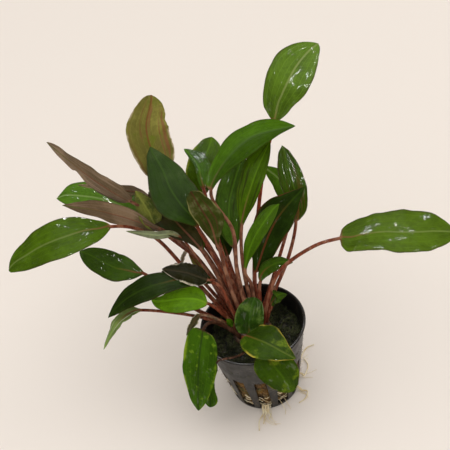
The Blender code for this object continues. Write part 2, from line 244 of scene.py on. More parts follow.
def new_mesh(name, points, faces):
    """A mesh from points in mm."""
    mesh = bpy.data.meshes.new(name)
    mesh.from_pydata([point * MM for point in points], [], faces)
    return mesh


def new_piece(name, points, faces, finish, body="root"):
    """A piece of the plant or pot from points in mm; it rides on the plant's one body."""
    mesh = new_mesh(name, points, faces)
    mesh.materials.append(finish)
    obj = in_scene(name, mesh)
    mesh.shade_smooth()
    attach(obj, body)
    return obj


def face_outwards(obj):
    """Turns every face of closed skins outwards."""
    builder = bmesh.new()
    builder.from_mesh(obj.data)
    bmesh.ops.recalc_face_normals(builder, faces=builder.faces)
    builder.to_mesh(obj.data)
    builder.free()


def mark(obj, name, values):
    """Keeps one number for each point, for the finish to read."""
    layer = obj.data.attributes.new(name, "FLOAT", "POINT")
    layer.data.foreach_set("value", values)


class Skins:
    """Closed skins through rings of points, gathered to become one mesh."""

    def __init__(self):
        self.points, self.faces, self.wraps, self.marks = [], [], [], {}

    def add(self, rings, marks=None):
        """One skin with a cap at both ends; marks holds a value for each point of each ring."""
        count, first = len(rings[0]), len(self.points)
        for ring in rings:
            self.points += ring
        start, end = len(self.points), len(self.points) + 1
        self.points += [sum(ring, Vector()) / count for ring in (rings[0], rings[-1])]
        for row in range(len(rings) - 1):
            for step in range(count):
                after = (step + 1) % count
                low, high = first + row * count, first + (row + 1) * count
                self.faces.append((low + step, low + after, high + after, high + step))
                self.wraps.append((step, row, count, len(rings)))
        top = first + (len(rings) - 1) * count
        for step in range(count):
            after = (step + 1) % count
            self.faces += [(start, first + after, first + step), (end, top + step, top + after)]
            self.wraps += [(step, -1, count, len(rings)), (step, -2, count, len(rings))]
        for name, values in (marks or {}).items():
            flat = [value for ring in values for value in ring]
            ends = [sum(values[0]) / count, sum(values[-1]) / count]
            self.marks.setdefault(name, []).extend(flat + ends)

    def piece(self, name, finish):
        """The skins as one piece, with a UV map that runs around and along each of them."""
        obj = new_piece(name, self.points, self.faces, finish)
        uv = obj.data.uv_layers.new(name="UVMap").data
        for face, (step, row, count, rows) in zip(obj.data.polygons, self.wraps):
            left, right = step / count, (step + 1) / count
            if row >= 0:
                low, high = row / rows, (row + 1) / rows
                corners = ((left, low), (right, low), (right, high), (left, high))
            else:
                height = 0.0 if row == -1 else (rows - 1) / rows
                corners = ((left, height), (right, height), (left, height + 0.5 / rows))
            for loop, corner in zip(face.loop_indices, corners):
                uv[loop].uv = corner
        for key, values in self.marks.items():
            mark(obj, key, values)
        face_outwards(obj)
        return obj


def strand_rings(points, radius_at, sides, steps):
    """Rings of a round strand along a smooth curve; radius_at takes 0 at its start and 1 at its end."""
    rings = []
    last = len(points) - 1
    across = None
    for step in range(steps + 1):
        at = last * step / steps
        centre = spline_point(points, at)
        ahead = spline_point(points, min(last, at + HEADING_STEP))
        heading = (ahead - spline_point(points, max(0.0, at - HEADING_STEP))).normalized()
        if across is None:
            across = heading.orthogonal()
        across = (across - across.dot(heading) * heading).normalized()
        beside = heading.cross(across)
        radius = radius_at(step / steps)
        rings.append([
            centre + (across * math.cos(turn) + beside * math.sin(turn)) * radius
            for turn in (math.tau * side / sides for side in range(sides))
        ])
    return rings


# Finishes


class Nodes:
    """The nodes of one tree; a node's sockets take a value or another node's socket."""

    def __init__(self, tree):
        self.tree = tree

    def add(self, kind, inputs=None, **settings):
        node = self.tree.nodes.new(kind)
        for key, value in settings.items():
            setattr(node, key, value)
        for key, value in (inputs or {}).items():
            self.give(node.inputs[key], value)
        return node

    def give(self, socket, value):
        """A value or a link for one socket."""
        if isinstance(value, bpy.types.NodeSocket):
            self.tree.links.new(value, socket)
        elif socket.type == "RGBA":
            socket.default_value = (*value, 1.0)
        else:
            socket.default_value = value

    def calc(self, operation, *values):
        """What one of Blender's Math operations makes of the values."""
        node = self.add("ShaderNodeMath", operation=operation)
        for socket, value in zip(node.inputs, values):
            self.give(socket, value)
        return node.outputs[0]

    def times(self, value, factor, plus=None):
        """The value times the factor, and plus added to it."""
        if plus is None:
            return self.calc("MULTIPLY", value, factor)
        return self.calc("MULTIPLY_ADD", value, factor, plus)


class Finish(Nodes):
    """A finish put together from nodes, on the piece's own coordinates and marks."""

    def __init__(self, name):
        self.material = bpy.data.materials.new(name)
        self.material.use_nodes = True
        super().__init__(self.material.node_tree)
        self.tree.nodes.clear()
        self.end = self.add("ShaderNodeOutputMaterial")
        self.place = self.add("ShaderNodeTexCoord").outputs["Object"]

    def mark(self, name):
        return self.add("ShaderNodeAttribute", attribute_name=name).outputs["Fac"]

    def noise(self, size, detail=3.0, stretch=(1.0, 1.0, 1.0), shift=0.0):
        """Noise with blotches of about that size in mm, drawn out along the axes by stretch."""
        scale = tuple(1.0 / (size * MM * value) for value in stretch)
        place = self.add("ShaderNodeMapping", {"Vector": self.place, "Scale": scale,
                                               "Location": (shift, shift, shift)})
        node = self.add("ShaderNodeTexNoise", {"Vector": place.outputs[0], "Scale": 1.0, "Detail": detail})
        return node.outputs["Fac"]

    def noise_along(self, share, along, across_size, along_size, detail, shift):
        """Noise that follows the leaf: sizes are in shares of its half width and in mm along it."""
        vector = self.add("ShaderNodeCombineXYZ", {
            "X": self.calc("DIVIDE", share, across_size), "Y": self.calc("DIVIDE", along, along_size),
            "Z": shift,
        })
        node = self.add("ShaderNodeTexNoise", {"Vector": vector.outputs[0], "Scale": 1.0, "Detail": detail})
        return node.outputs["Fac"]

    def step(self, value, low, high):
        """A soft step: 0 at low and 1 at high, or the other way round where low is the greater."""
        turned = low > high
        node = self.add("ShaderNodeMapRange", {
            "Value": value, "From Min": min(low, high), "From Max": max(low, high),
            "To Min": 1.0 if turned else 0.0, "To Max": 0.0 if turned else 1.0,
        }, interpolation_type="SMOOTHSTEP")
        return node.outputs["Result"]

    def lines(self, value, every, width):
        """1 on a soft line wherever value reaches a multiple of every, 0 between."""
        away = self.calc("PINGPONG", self.calc("DIVIDE", value, every), 0.5)
        return self.step(away, 1.8 * width / every, 0.2 * width / every)

    def mix(self, share, first, second):
        """The first colour where the share is 0, the second where it is 1."""
        node = self.add("ShaderNodeMix", data_type="RGBA")
        self.give(node.inputs[0], share)
        self.give(node.inputs[6], first)
        self.give(node.inputs[7], second)
        return node.outputs[2]

    def tint(self, base, colour, share, strength=1.0):
        """The base with a colour over it, as far as the share and the strength go."""
        return self.mix(self.times(share, strength), base, colour)

    def tones(self, value, low, high, first, second):
        """One screen colour where the value is low, another where it is high."""
        return self.mix(self.step(value, low, high), as_light(*first), as_light(*second))

    def bump(self, height, depth):
        """A relief of that depth in mm."""
        node = self.add("ShaderNodeBump", {"Height": height, "Strength": 1.0, "Distance": depth * MM})
        return node.outputs["Normal"]

    def done(self, colour, roughness, normal=None, coat=0.0, coat_roughness=0.1, specular=0.5,
             coat_normal=None):
        """The material, from what its shader takes; the coat is a film of water."""
        inputs = {"Base Color": colour, "Roughness": roughness, "Coat Weight": coat,
                  "Coat Roughness": coat_roughness, "Specular IOR Level": specular}
        if normal:
            inputs["Normal"] = normal
        if coat_normal:
            inputs["Coat Normal"] = coat_normal
        shader = self.add("ShaderNodeBsdfPrincipled", inputs)
        self.tree.links.new(shader.outputs[0], self.end.inputs["Surface"])
        return self.material


def leaf_finish(name, upper, under, red=0.6, margin=None, margin_width=0.05, patch=None,
                patch_size=14.0, patch_at=(0.55, 0.7), pale=0.25, wet=0.5, streak=0.3, streaks=None,
                stalk=STALK_RED, rib=None, tan=0.55, painted_shade_half=None, painted_base_shade=0.0, shift=0.0):
    """A leaf: its blade's two sides with their veins, its margin, patches, wet film and stalk.

    red is how far the stalk's colour runs up the midrib, pale and streak how light the veins are
    above and below, patch the colour of ageing patches, patch_at where their noise starts and ends,
    streaks the colour of stripes along the blade, and tan how much of the stalk is sheathed.
    painted_shade_half is the half with painted shade, 1 or -1, and how much, and dim how far painted
    shade darkens the blade towards its base. shift gives each finish its own stretch of noise.
    """
    make = Finish(name)
    share, reach, top, wide, ladder = (make.mark(key) for key in LEAF_MARKS)
    out = make.calc("ABSOLUTE", share)
    wobble = make.noise(5.0, shift=shift)
    fine = make.noise(1.1, 2.0, shift=shift)
    cloud = make.noise(patch_size, 4.0, shift=shift)
    long_veins = make.lines(make.times(wobble, 0.06, out), VEIN_SPACING, 0.014)
    threads = make.lines(make.times(wobble, 0.02, out), 0.055, 0.008)
    rungs = make.lines(make.times(wobble, 2.2, ladder), 2.3, 0.16)
    veins = make.times(threads, 0.18, make.calc("MAXIMUM", long_veins, make.times(rungs, 0.4)))
    speckle = make.step(make.noise(2.4, 4.0, shift=shift + 1.0), 0.5, 0.66)
    broad = make.noise_along(share, ladder, 0.9, 26.0, 3.0, shift)
    front = make.mix(make.step(broad, 0.32, 0.62), shade(upper, 0.6), upper)
    front = make.tint(front, shade(upper, 1.3), make.step(wobble, 0.45, 0.75), 0.55)
    front = make.tint(front, shade(upper, 0.62), speckle, 0.45)
    front = make.tint(front, shade(upper, 1.75), veins, pale)
    back = make.mix(make.step(cloud, 0.32, 0.68), shade(under, 0.68), shade(under, 1.2))
    back = make.tint(back, shade(under, 0.6), speckle, 0.4)
    back = make.tint(back, shade(under, 1.7), veins, streak)
    blade = make.mix(make.step(top, 0.35, 0.65), back, front)
    if patch:
        blade = make.tint(blade, patch, make.step(cloud, *patch_at), make.step(fine, 0.15, 0.6))
    if streaks:
        stripe = make.noise_along(share, ladder, 0.16, 30.0, 3.0, shift)
        blade = make.tint(blade, streaks, make.step(stripe, 0.52, 0.68), 0.8)
    edge = make.step(make.times(wobble, margin_width * 4, out), 1.0, 1.0 + margin_width * 1.6)
    if margin:
        here = make.step(make.noise(10.0, 2.0, shift=shift + 3.0), 0.40, 0.56)
        blade = make.tint(blade, margin, edge, here)
    else:
        blade = make.tint(blade, as_light(62, 46, 24), edge, 0.5)
    ribbed = make.mix(make.step(reach, red + 0.15, red - 0.35), rib or shade(upper, 1.5), stalk)
    blade = make.tint(blade, ribbed, make.step(make.calc("ABSOLUTE", wide), 0.7, 0.25), 0.7)
    # Painted shade: one half of the blade is darkened as if turned away from the light or shadowed by
    # another leaf.
    if painted_shade_half:
        side, depth = painted_shade_half
        blade = make.tint(blade, shade(upper, 0.3), make.step(share, -0.05 * side, 0.08 * side), depth)
    # Painted shade: the blade is darkened towards its base, where it folds into shadow.
    if painted_base_shade:
        blade = make.tint(blade, shade(under, 0.3), make.step(reach, 0.3, 0.02), painted_base_shade)
    grain = make.noise(1.4, 3.0, (1.0, 1.0, 6.0), shift)
    stem = make.mix(make.step(grain, 0.3, 0.7), shade(stalk, 0.55), shade(stalk, 1.3))
    sheath = make.noise(3.2, 3.0, (1.0, 1.0, 4.0), shift + 2.0)
    stem = make.tint(stem, STALK_TAN, make.step(sheath, 0.48, 0.60), tan)
    leafy = make.step(reach, -0.005, 0.05)
    pool = make.noise_along(share, ladder, 0.30, 8.0, 3.0, shift + 5.0)
    film = make.times(make.step(pool, 0.70 - 0.3 * wet, 0.74 - 0.3 * wet), leafy)
    film = make.calc("MAXIMUM", film, make.times(leafy, -0.25, 0.25))
    ripple = make.noise_along(share, ladder, 0.32, 8.5, 1.0, shift + 9.0)
    relief = make.bump(make.times(fine, 0.3, make.times(veins, -0.5)), 0.16)
    water = make.bump(make.times(film, 0.3, ripple), 1.3)
    colour = make.mix(leafy, stem, blade)
    return make.done(colour, 0.42, relief, coat=film, coat_roughness=0.06, specular=0.035,
                     coat_normal=water)


# Leaves


def plain_widths(width):
    """Half widths of a plain blade at the outline's places, without its two ends."""
    fall = PLAIN_RISE * (1 - PLAIN_WIDEST) / PLAIN_WIDEST
    return tuple(
        width / 2 * ((place / PLAIN_WIDEST) ** PLAIN_RISE * ((1 - place) / (1 - PLAIN_WIDEST)) ** fall)
        for place in OUTLINE_PLACES[1:-1]
    )


def leaf(name, neck, middle, tip, face, finish, width=10.0, far=None, near=None, stalk=(), tip_face=None,
         foot=None, **shape):
    """What one leaf is made from.

    neck, middle and tip are points of the blade's midrib in mm, stalk the points that the stalk
    passes, and foot where it starts, if not on the rootstock. face is the way that the upper side
    looks. far and near are half widths of the blade's two sides at the outline's places; without
    them it has a plain outline of that width. shape says how it differs from PLAIN_LEAF.
    """
    far = far or plain_widths(width)
    return {
        **PLAIN_LEAF, **shape, "name": name, "finish": finish, "foot": foot, "far": far, "near": near or far,
        "neck": Vector(neck), "middle": Vector(middle), "tip": Vector(tip),
        "stalk": [Vector(point) for point in stalk],
        "face": Vector(face).normalized(), "tip_face": Vector(tip_face or face).normalized(),
    }


def outline_at(widths, along):
    """Half width in mm at a place along the blade, on a smooth curve through the widths."""
    places, values = OUTLINE_PLACES, (0.0, *widths, 0.0)
    index = max(number for number, place in enumerate(places[:-1]) if place <= max(0.0, along))
    slopes = []
    for number in (index, index + 1):
        before, after = max(0, number - 1), min(len(places) - 1, number + 1)
        slopes.append((values[after] - values[before]) / (places[after] - places[before]))
    span = places[index + 1] - places[index]
    part = min(1.0, (along - places[index]) / span)
    squared, cubed = part * part, part ** 3
    value = (
        (2 * cubed - 3 * squared + 1) * values[index] + (cubed - 2 * squared + part) * span * slopes[0]
        + (3 * squared - 2 * cubed) * values[index + 1] + (cubed - squared) * span * slopes[1]
    )
    return max(0.0, value)


def leaf_midrib(item, foot):
    """Points that a leaf's midrib passes, from its foot to its tip."""
    stalk = item["stalk"]
    if not stalk:
        line = item["neck"] - foot
        upward = UP - line * (line.z / line.length_squared)
        stalk = [foot + line / 2 + upward * STALK_BOW * line.length]
    return [foot, *stalk, item["neck"], item["middle"], item["tip"]]


def stalk_feet(leaves):
    """Feet of the stalks on the rootstock, in mm, pushed apart until they have room."""
    height = PLUG_TOP + GAP + CROWN_HEIGHT + FOOT_LIFT
    fan_centre = Vector((*FAN_CENTRE, height - FAN_DEPTH))
    centre = Vector((*CROWN_CENTRE, height))
    feet = []
    for item in leaves:
        line = (item["stalk"] or [item["neck"]])[0] - fan_centre
        feet.append(fan_centre + line * (FAN_DEPTH / line.z))
    for _ in range(FOOT_ROUNDS):
        for index, foot in enumerate(feet):
            for other in feet[:index]:
                apart = foot - other
                lack = FOOT_SPACING - apart.length
                if lack > 0.0:
                    push = apart.normalized() * lack / 2
                    foot += push
                    other -= push
        for foot in feet:
            outward = foot - centre
            if outward.length > CROWN_RADIUS - FOOT_MARGIN:
                foot += outward.normalized() * (CROWN_RADIUS - FOOT_MARGIN - outward.length)
    return feet


def leaf_frame(item, midrib, at, along):
    """Centre, side and up of the leaf at a place on its midrib."""
    centre = spline_point(midrib, at)
    ahead = spline_point(midrib, at + HEADING_STEP)
    heading = (ahead - spline_point(midrib, max(0.0, at - HEADING_STEP))).normalized()
    up = item["face"].lerp(item["tip_face"], along)
    up = (up - up.dot(heading) * heading).normalized()
    return centre, heading.cross(up), up


def half_width(item, along, side, seed):
    """Half width of the blade on one side, with its rough margin and its tear."""
    place = along / BLADE_END
    width = outline_at(item["far"] if side > 0 else item["near"], place)
    rough = noise.noise(Vector((along * COARSE_TEETH, side * 3.0, seed)))
    rough += 0.6 * noise.noise(Vector((along * FINE_TEETH, side * 5.0, seed)))
    width *= 1.0 + item["ragged"] * rough
    if item["notch"] and item["notch"][0] * side > 0:
        _, where, depth, length = item["notch"]
        width -= depth * math.exp(-((place - where) / length) ** 2) * min(1.0, width / depth)
    return max(LEAST_WIDTH, width)


def blade_height(item, across, share, along, seed):
    """How far the blade's middle sheet stands above the plane through its midrib, in mm."""
    place = along / BLADE_END
    away = abs(share)
    slope = math.tan(math.radians(item["fold"]))
    fold = slope * (math.hypot(across, FOLD_SOFTNESS) - FOLD_SOFTNESS) * min(1.0, along * 6)
    belly = math.sin(math.pi * min(1.0, place)) ** 0.6 if place > 0.0 else 0.0
    cup = -item["cup"] * share * share * belly
    phase = seed * 1.7 + (0.0 if share > 0 else 2.1)
    ripple = math.sin(math.tau * (place * item["waves"]) + phase)
    ripple += 0.5 * math.sin(math.tau * place * item["waves"] * 1.9 + phase * 2.3)
    wave = item["wave"] * away ** 2.4 * ripple * belly
    roll = ROLL * noise.noise(Vector((across / 7.0, along * 8.0, seed))) * belly * min(1.0, away * 2)
    quilt = QUILT * math.cos(math.tau * away / VEIN_SPACING) * belly * min(1.0, away * 4)
    return fold + cup + wave + roll - quilt


def leaf_row(item, row, neck_at):
    """Where one ring is: its share of the blade, place on the midrib, reach, and radius as a stalk."""
    part = (row - STALK_RINGS) / BLADE_RINGS
    neck_radius = min(NECK_RADIUS, item["radius"])
    if part > 0.0:
        along = BLADE_END * (0.45 * part + 0.55 * smooth_share(part))
        return along, neck_at + 2 * along, along, neck_radius
    at = neck_at * row / STALK_RINGS
    radius = item["radius"] + (neck_radius - item["radius"]) * at / neck_at
    radius *= 1.0 + FOOT_SWELL * math.exp(-at / neck_at * 3.0)
    return 0.0, at, at / neck_at - 1.0, radius


def leaf_section(item, along, radius, halves, seed):
    """Points around a leaf's ring: share, mm across and up from its middle line, and top."""
    opening = smooth_share(along * 7.0)
    section = []
    for point in range(RING_POINTS):
        turn = math.tau * point / RING_POINTS
        cosine, sine = math.cos(turn), math.sin(turn)
        share = math.copysign(abs(cosine) ** (1.0 + 0.55 * opening), cosine)
        across = share * math.hypot(radius * (1.0 - along), halves[0 if share > 0 else 1])
        sheet = radius * (1.0 - opening) * (0.9 if sine > 0 else 1.0) + BLADE_HALF * opening
        height = math.copysign(abs(sine) ** (1.0 - 0.4 * opening), sine) * sheet
        if opening > 0.0:
            height += blade_height(item, across, share, along, seed) * opening
            if sine < 0:
                depth, half = item["rib"] * (1.0 - 0.85 * along), RIB_HALF
            else:
                depth, half = GROOVE, GROOVE_HALF
            height -= depth * math.exp(-(across / half) ** 2) * opening
        top = 0.5 if abs(sine) < 0.02 else float(sine > 0)
        section.append((share, across, height, top))
    return section


def grow_leaf(name, item, foot, seed, finish):
    """One leaf as a closed skin: a round stalk that opens into a thin blade with a rib below."""
    midrib = leaf_midrib(item, foot)
    rings, marks = [], {key: [] for key in LEAF_MARKS}
    walked, before = 0.0, None
    for row in range(STALK_RINGS + BLADE_RINGS + 1):
        along, at, reach, radius = leaf_row(item, row, len(midrib) - 3)
        centre, side, up = leaf_frame(item, midrib, at, along)
        drift, halves = 0.0, (0.0, 0.0)
        if along > 0.0:
            far, near = half_width(item, along, 1.0, seed), half_width(item, along, -1.0, seed)
            drift = (far - near) / 2 * item["centring"]
            halves = (far - drift, near + drift)
            walked += (centre - before).length
        before = centre
        section = leaf_section(item, along, radius, halves, seed)
        rings.append([centre + side * (across + drift) + up * height for _, across, height, _ in section])
        found = [(share, reach, top, across, walked - RUNG_SLANT * abs(across))
                 for share, across, _, top in section]
        for key, values in zip(LEAF_MARKS, zip(*found)):
            marks[key].append(values)
    skins = Skins()
    skins.add(rings, marks)
    return skins.piece(name, finish)


def leaf_looks():
    """Finishes of the leaves, by name. Colours are given as they look on a screen."""
    c = as_light
    # painted_shade_half and dim give some leaves painted shade, on one half or towards the base.
    looks = {
        "far_green": dict(upper=c(73, 101, 8), under=c(112, 78, 54), wet=0.46, red=0.3,
                          rib=c(108, 124, 60)),
        "long_green": dict(upper=c(80, 106, 16), under=c(112, 78, 54), red=0.3, rib=c(114, 130, 62)),
        "behind_green": dict(upper=c(78, 116, 20), under=c(104, 98, 54), red=0.15, pale=0.3,
                             rib=c(128, 152, 82)),
        "small_green": dict(upper=c(64, 98, 13), under=c(98, 92, 46), wet=0.62, red=0.2),
        "old": dict(upper=c(130, 124, 56), under=c(126, 104, 62), patch=c(104, 112, 34), patch_size=13,
                    patch_at=(0.52, 0.64), streaks=c(130, 84, 54), rib=c(112, 54, 30), red=1.4, wet=0.1,
                    margin=c(190, 172, 140), painted_shade_half=(-1, 0.28)),
        "blue_green": dict(upper=c(45, 69, 12), under=c(78, 68, 40), wet=0.1, red=0.1, pale=0.10,
                           patch=c(62, 82, 36), patch_size=22, patch_at=(0.5, 0.62), painted_shade_half=(-1, 0.2)),
        "deep_blue": dict(upper=c(69, 101, 22), under=c(60, 60, 30), wet=0.6, red=0.1, pale=0.15,
                          streaks=c(50, 52, 20), stalk=STALK_PALE, tan=0.9),
        "dark_brown": dict(upper=c(55, 51, 20), under=c(64, 46, 28), wet=0.1, patch=c(40, 56, 20),
                           pale=0.15, stalk=STALK_PALE, tan=0.8),
        "purple": dict(upper=c(72, 84, 32), under=c(119, 99, 74), wet=0.1, streak=0.45, red=0.8, pale=0.2,
                       painted_base_shade=0.6, stalk=STALK_PALE, patch=c(142, 118, 92), patch_size=18,
                       patch_at=(0.5, 0.62), streaks=c(148, 126, 104)),
        "pinkish": dict(upper=c(72, 84, 32), under=c(168, 144, 118), wet=0.1, streak=0.35, red=0.8,
                        pale=0.2),
        "purple_dark": dict(upper=c(72, 84, 32), under=c(55, 63, 16), wet=0.1, streak=0.25, red=0.5,
                            streaks=c(74, 50, 28), rib=c(76, 42, 26), margin=c(128, 124, 74),
                            margin_width=0.07, stalk=STALK_PALE, tan=0.8, patch=c(100, 98, 62),
                            patch_size=9, patch_at=(0.54, 0.68)),
        "apple": dict(upper=c(91, 121, 31), under=c(104, 98, 50), wet=0.52, pale=0.4, red=0.1,
                      rib=c(138, 150, 84), stalk=STALK_BRIGHT, tan=0.1),
        "arching": dict(upper=c(69, 105, 11), under=c(88, 92, 42), wet=0.15, pale=0.12, red=0.2,
                        rib=c(66, 94, 30), painted_shade_half=(1, 0.5), stalk=STALK_PALE, tan=0.75),
        "folded": dict(upper=c(76, 108, 8), under=c(84, 76, 36), wet=0.15, pale=0.2, red=0.4,
                       streaks=c(46, 48, 16), stalk=STALK_PALE, tan=0.9, painted_shade_half=(1, 0.3)),
        "striped": dict(upper=c(58, 84, 6), under=c(88, 56, 30), streaks=c(84, 64, 24), wet=0.75, red=0.3),
        "middle_green": dict(upper=c(55, 82, 8), under=c(96, 76, 44), wet=0.52, red=0.35, pale=0.2),
        "dark_green": dict(upper=c(37, 55, 7), under=c(64, 48, 28), wet=0.15, red=0.4, pale=0.12),
        "dark_red_edge": dict(upper=c(39, 60, 9), under=c(72, 50, 30), margin=c(84, 48, 28), wet=0.3,
                              patch=c(52, 40, 18), patch_size=16, patch_at=(0.56, 0.72), red=0.7,
                              pale=0.12),
        "decayed": dict(upper=c(36, 36, 12), under=c(60, 50, 30), margin=c(196, 186, 164), wet=0.1,
                        patch=c(44, 38, 24), patch_size=10, patch_at=(0.48, 0.6), red=0, margin_width=0.1,
                        rib=c(56, 48, 28)),
        "fresh": dict(upper=c(68, 100, 10), under=c(100, 108, 40), wet=0.25, red=0.05, stalk=STALK_PALE,
                      tan=0.8),
        "round": dict(upper=c(71, 100, 6), under=c(100, 108, 40), wet=0.45, red=0.05, pale=0.2,
                      margin=c(128, 138, 40), margin_width=0.08),
        "mottled": dict(upper=c(116, 121, 52), under=c(90, 90, 46), wet=0.9, red=0.1, pale=0.2,
                        patch=c(72, 84, 34), patch_size=5, patch_at=(0.45, 0.6)),
        "bright": dict(upper=c(104, 150, 20), under=c(108, 112, 46), wet=0.3, red=0.1, pale=0.2),
        "hanging": dict(upper=c(58, 92, 8), under=c(76, 72, 34), patch=c(98, 128, 26), patch_size=3.2,
                        patch_at=(0.6, 0.7), wet=0.35, red=0.1, pale=0.3, rib=c(40, 62, 16),
                        margin=c(126, 152, 30), margin_width=0.1, stalk=c(66, 40, 26), tan=0.2),
        "blistered": dict(upper=c(44, 72, 14), under=c(56, 50, 28), wet=0.9, red=0.2, pale=0.3,
                          margin=c(88, 112, 42), patch=c(86, 112, 44), patch_size=7, patch_at=(0.5, 0.66)),
        "yellow_edged": dict(upper=c(53, 77, 6), under=c(90, 84, 32), margin=c(168, 152, 56),
                             margin_width=0.06, wet=0.15, patch=c(112, 136, 26), patch_size=9,
                             patch_at=(0.54, 0.66), red=0.3, rib=c(92, 108, 34), painted_shade_half=(-1, 0.3)),
        "over_rim": dict(upper=c(56, 82, 8), under=c(84, 68, 32), margin=c(120, 116, 36), wet=0.3,
                         patch=c(98, 120, 22), patch_size=8, patch_at=(0.52, 0.66), red=0.3, pale=0.2),
        "withered": dict(upper=c(118, 140, 72), under=c(150, 150, 96), margin=c(120, 84, 66), wet=0.4,
                         streaks=c(228, 228, 190), patch=c(104, 128, 54), patch_size=8),
        "dry": dict(upper=c(90, 86, 52), under=c(70, 62, 38), patch=c(60, 60, 30), patch_size=4, wet=0.6,
                    margin=c(214, 200, 168), margin_width=0.12, stalk=c(110, 82, 56)),
        "greyish": dict(upper=c(122, 132, 92), under=c(130, 136, 102), patch=c(96, 104, 64), patch_size=6,
                        wet=0.3, red=0.2, margin=c(120, 100, 84)),
        "papery": dict(upper=c(190, 178, 150), under=c(168, 158, 118), patch=c(112, 94, 62), patch_size=4,
                       wet=0.2, stalk=c(130, 104, 78)),
    }
    return {name: leaf_finish(f"leaf_{name}", shift=number * 0.37, **look)
            for number, (name, look) in enumerate(looks.items())}


def left_leaves():
    """Leaves that reach to the left, and the dry scrap at the rim."""
    return [
        leaf("leaf_far_left", (-59, 39, 102), (-85, 30, 106), (-117, 37, 90), (0.1, -0.4, 0.9), "far_green",
             far=(2, 5.5, 10.5, 13, 14, 13.7, 11.5, 8.7, 4.5),
             near=(1.7, 5.2, 7.2, 7.7, 7.2, 6.2, 5, 3, 1.5), stalk=[(-24, 24, 65), (-40, 42, 86)], fold=3),
        leaf("leaf_left_purple_high", (-46.6, 48, 108), (-64, 59, 122), (-83.5, 85, 130),
             (0.70, 0.72, 0.01), "purple", far=(5, 9.5, 11.5, 11.8, 10.5, 8.5, 6.5, 4.5, 1.5),
             near=(4.5, 6.8, 7.2, 7, 6.4, 5.2, 4, 2.8, 1), stalk=[(-16.5, 35, 75), (-33.5, 50.2, 89.5)],
             notch=(1, 0.68, 2.6, 0.035), wave=0.3, rib=0.8, centring=0.3),
        leaf("leaf_left_green_behind", (-40.2, 52.5, 84), (-61.2, 71.8, 90.5), (-90.2, 86.6, 89.5),
             (0, -0.4, 0.9), "behind_green", far=(4, 9, 11, 11.5, 11.5, 11, 10, 7.5, 2.5),
             near=(3, 7, 9, 9.5, 9, 7.5, 5.5, 2.8, 0.8), stalk=[(-18.5, 35, 64), (-30, 46, 75)], wave=0.4),
        leaf("leaf_left_purple_strip", (-38, 63.5, 94), (-52, 69.5, 99), (-75.3, 79.9, 101),
             (0.2, 0.95, 0.1), "pinkish", width=8, stalk=[(-14.8, 37.8, 74.5)]),
        leaf("leaf_left_purple_low", (-34.5, 38.1, 93), (-57.6, 51.3, 100), (-84, 64.9, 102), (0.3, 0.9, 0),
             "purple", far=(1.7, 6, 9, 9.2, 8.2, 6, 4.7, 2, 0.5),
             near=(0.5, 1.7, 4.7, 6.7, 6.7, 6.2, 4.2, 2, 0.7), stalk=[(-19, 30.6, 71.5)], centring=0.5,
             rib=0.8),
        leaf("leaf_left_middle", (-49, 27, 76), (-65, 35, 80), (-82, 54, 77), (0.1, -0.3, 0.95),
             "middle_green", far=(0.8, 3, 5.5, 7, 7.4, 7.2, 6.4, 4.2, 1.4),
             near=(1.4, 5.2, 7.7, 9.2, 8.2, 7, 5.2, 2.8, 0.9), stalk=[(-26, 13, 54), (-38, 22, 61)]),
        leaf("leaf_left_dark_broad", (-15, 12, 73), (-43, 11, 77), (-73, 14, 63), (0, -0.3, 0.95),
             "dark_green", far=(2, 6, 8.5, 9.5, 11, 11.2, 9.5, 5.5, 1.8),
             near=(0.7, 1.2, 1.6, 2.4, 3, 2.4, 1.4, 0.7, 0.2), fold=3, wave=0.4, ragged=0.012),
        leaf("leaf_left_torn", (-25, 33.6, 63), (-33, 33.6, 66.4), (-41, 36, 65.6), (0, -0.2, 0.95),
             "decayed", width=9, stalk=[(-15, 21, 52)], fold=8, ragged=0.1),
        leaf("leaf_left_bright_low", (-20, 8, 63), (-34, 13, 67), (-49, 19, 64), (0, -0.5, 0.85), "bright",
             far=(0.6, 4.7, 7, 6.7, 4.9, 2.8, 1.6, 0.8, 0.3), near=(1.5, 4, 6, 7.6, 8.2, 7.6, 6, 4, 1.4),
             fold=4, centring=0.6),
        leaf("leaf_left_withered", (-55, 18, 59), (-67, 16, 59), (-80, 10, 44), (0, -0.3, 0.9), "withered",
             far=(0.5, 2.2, 1.9, 1.7, 1.8, 1.7, 1.2, 0.8, 0.2),
             near=(0.5, 2.7, 4.2, 4.2, 3.7, 2.6, 1.6, 0.7, 0.2), stalk=[(-26, 8, 54.5)], fold=30, wave=0.6,
             ragged=0.08, radius=0.8),
        leaf("dry_scrap", (-25, 5, 59), (-30, 4, 55), (-35, 2, 49), (0.3, -0.8, 0.5), "dry", width=4,
             stalk=[(-16, 1, 56)], fold=35, radius=0.7, ragged=0.2, wave=0.5),
    ]


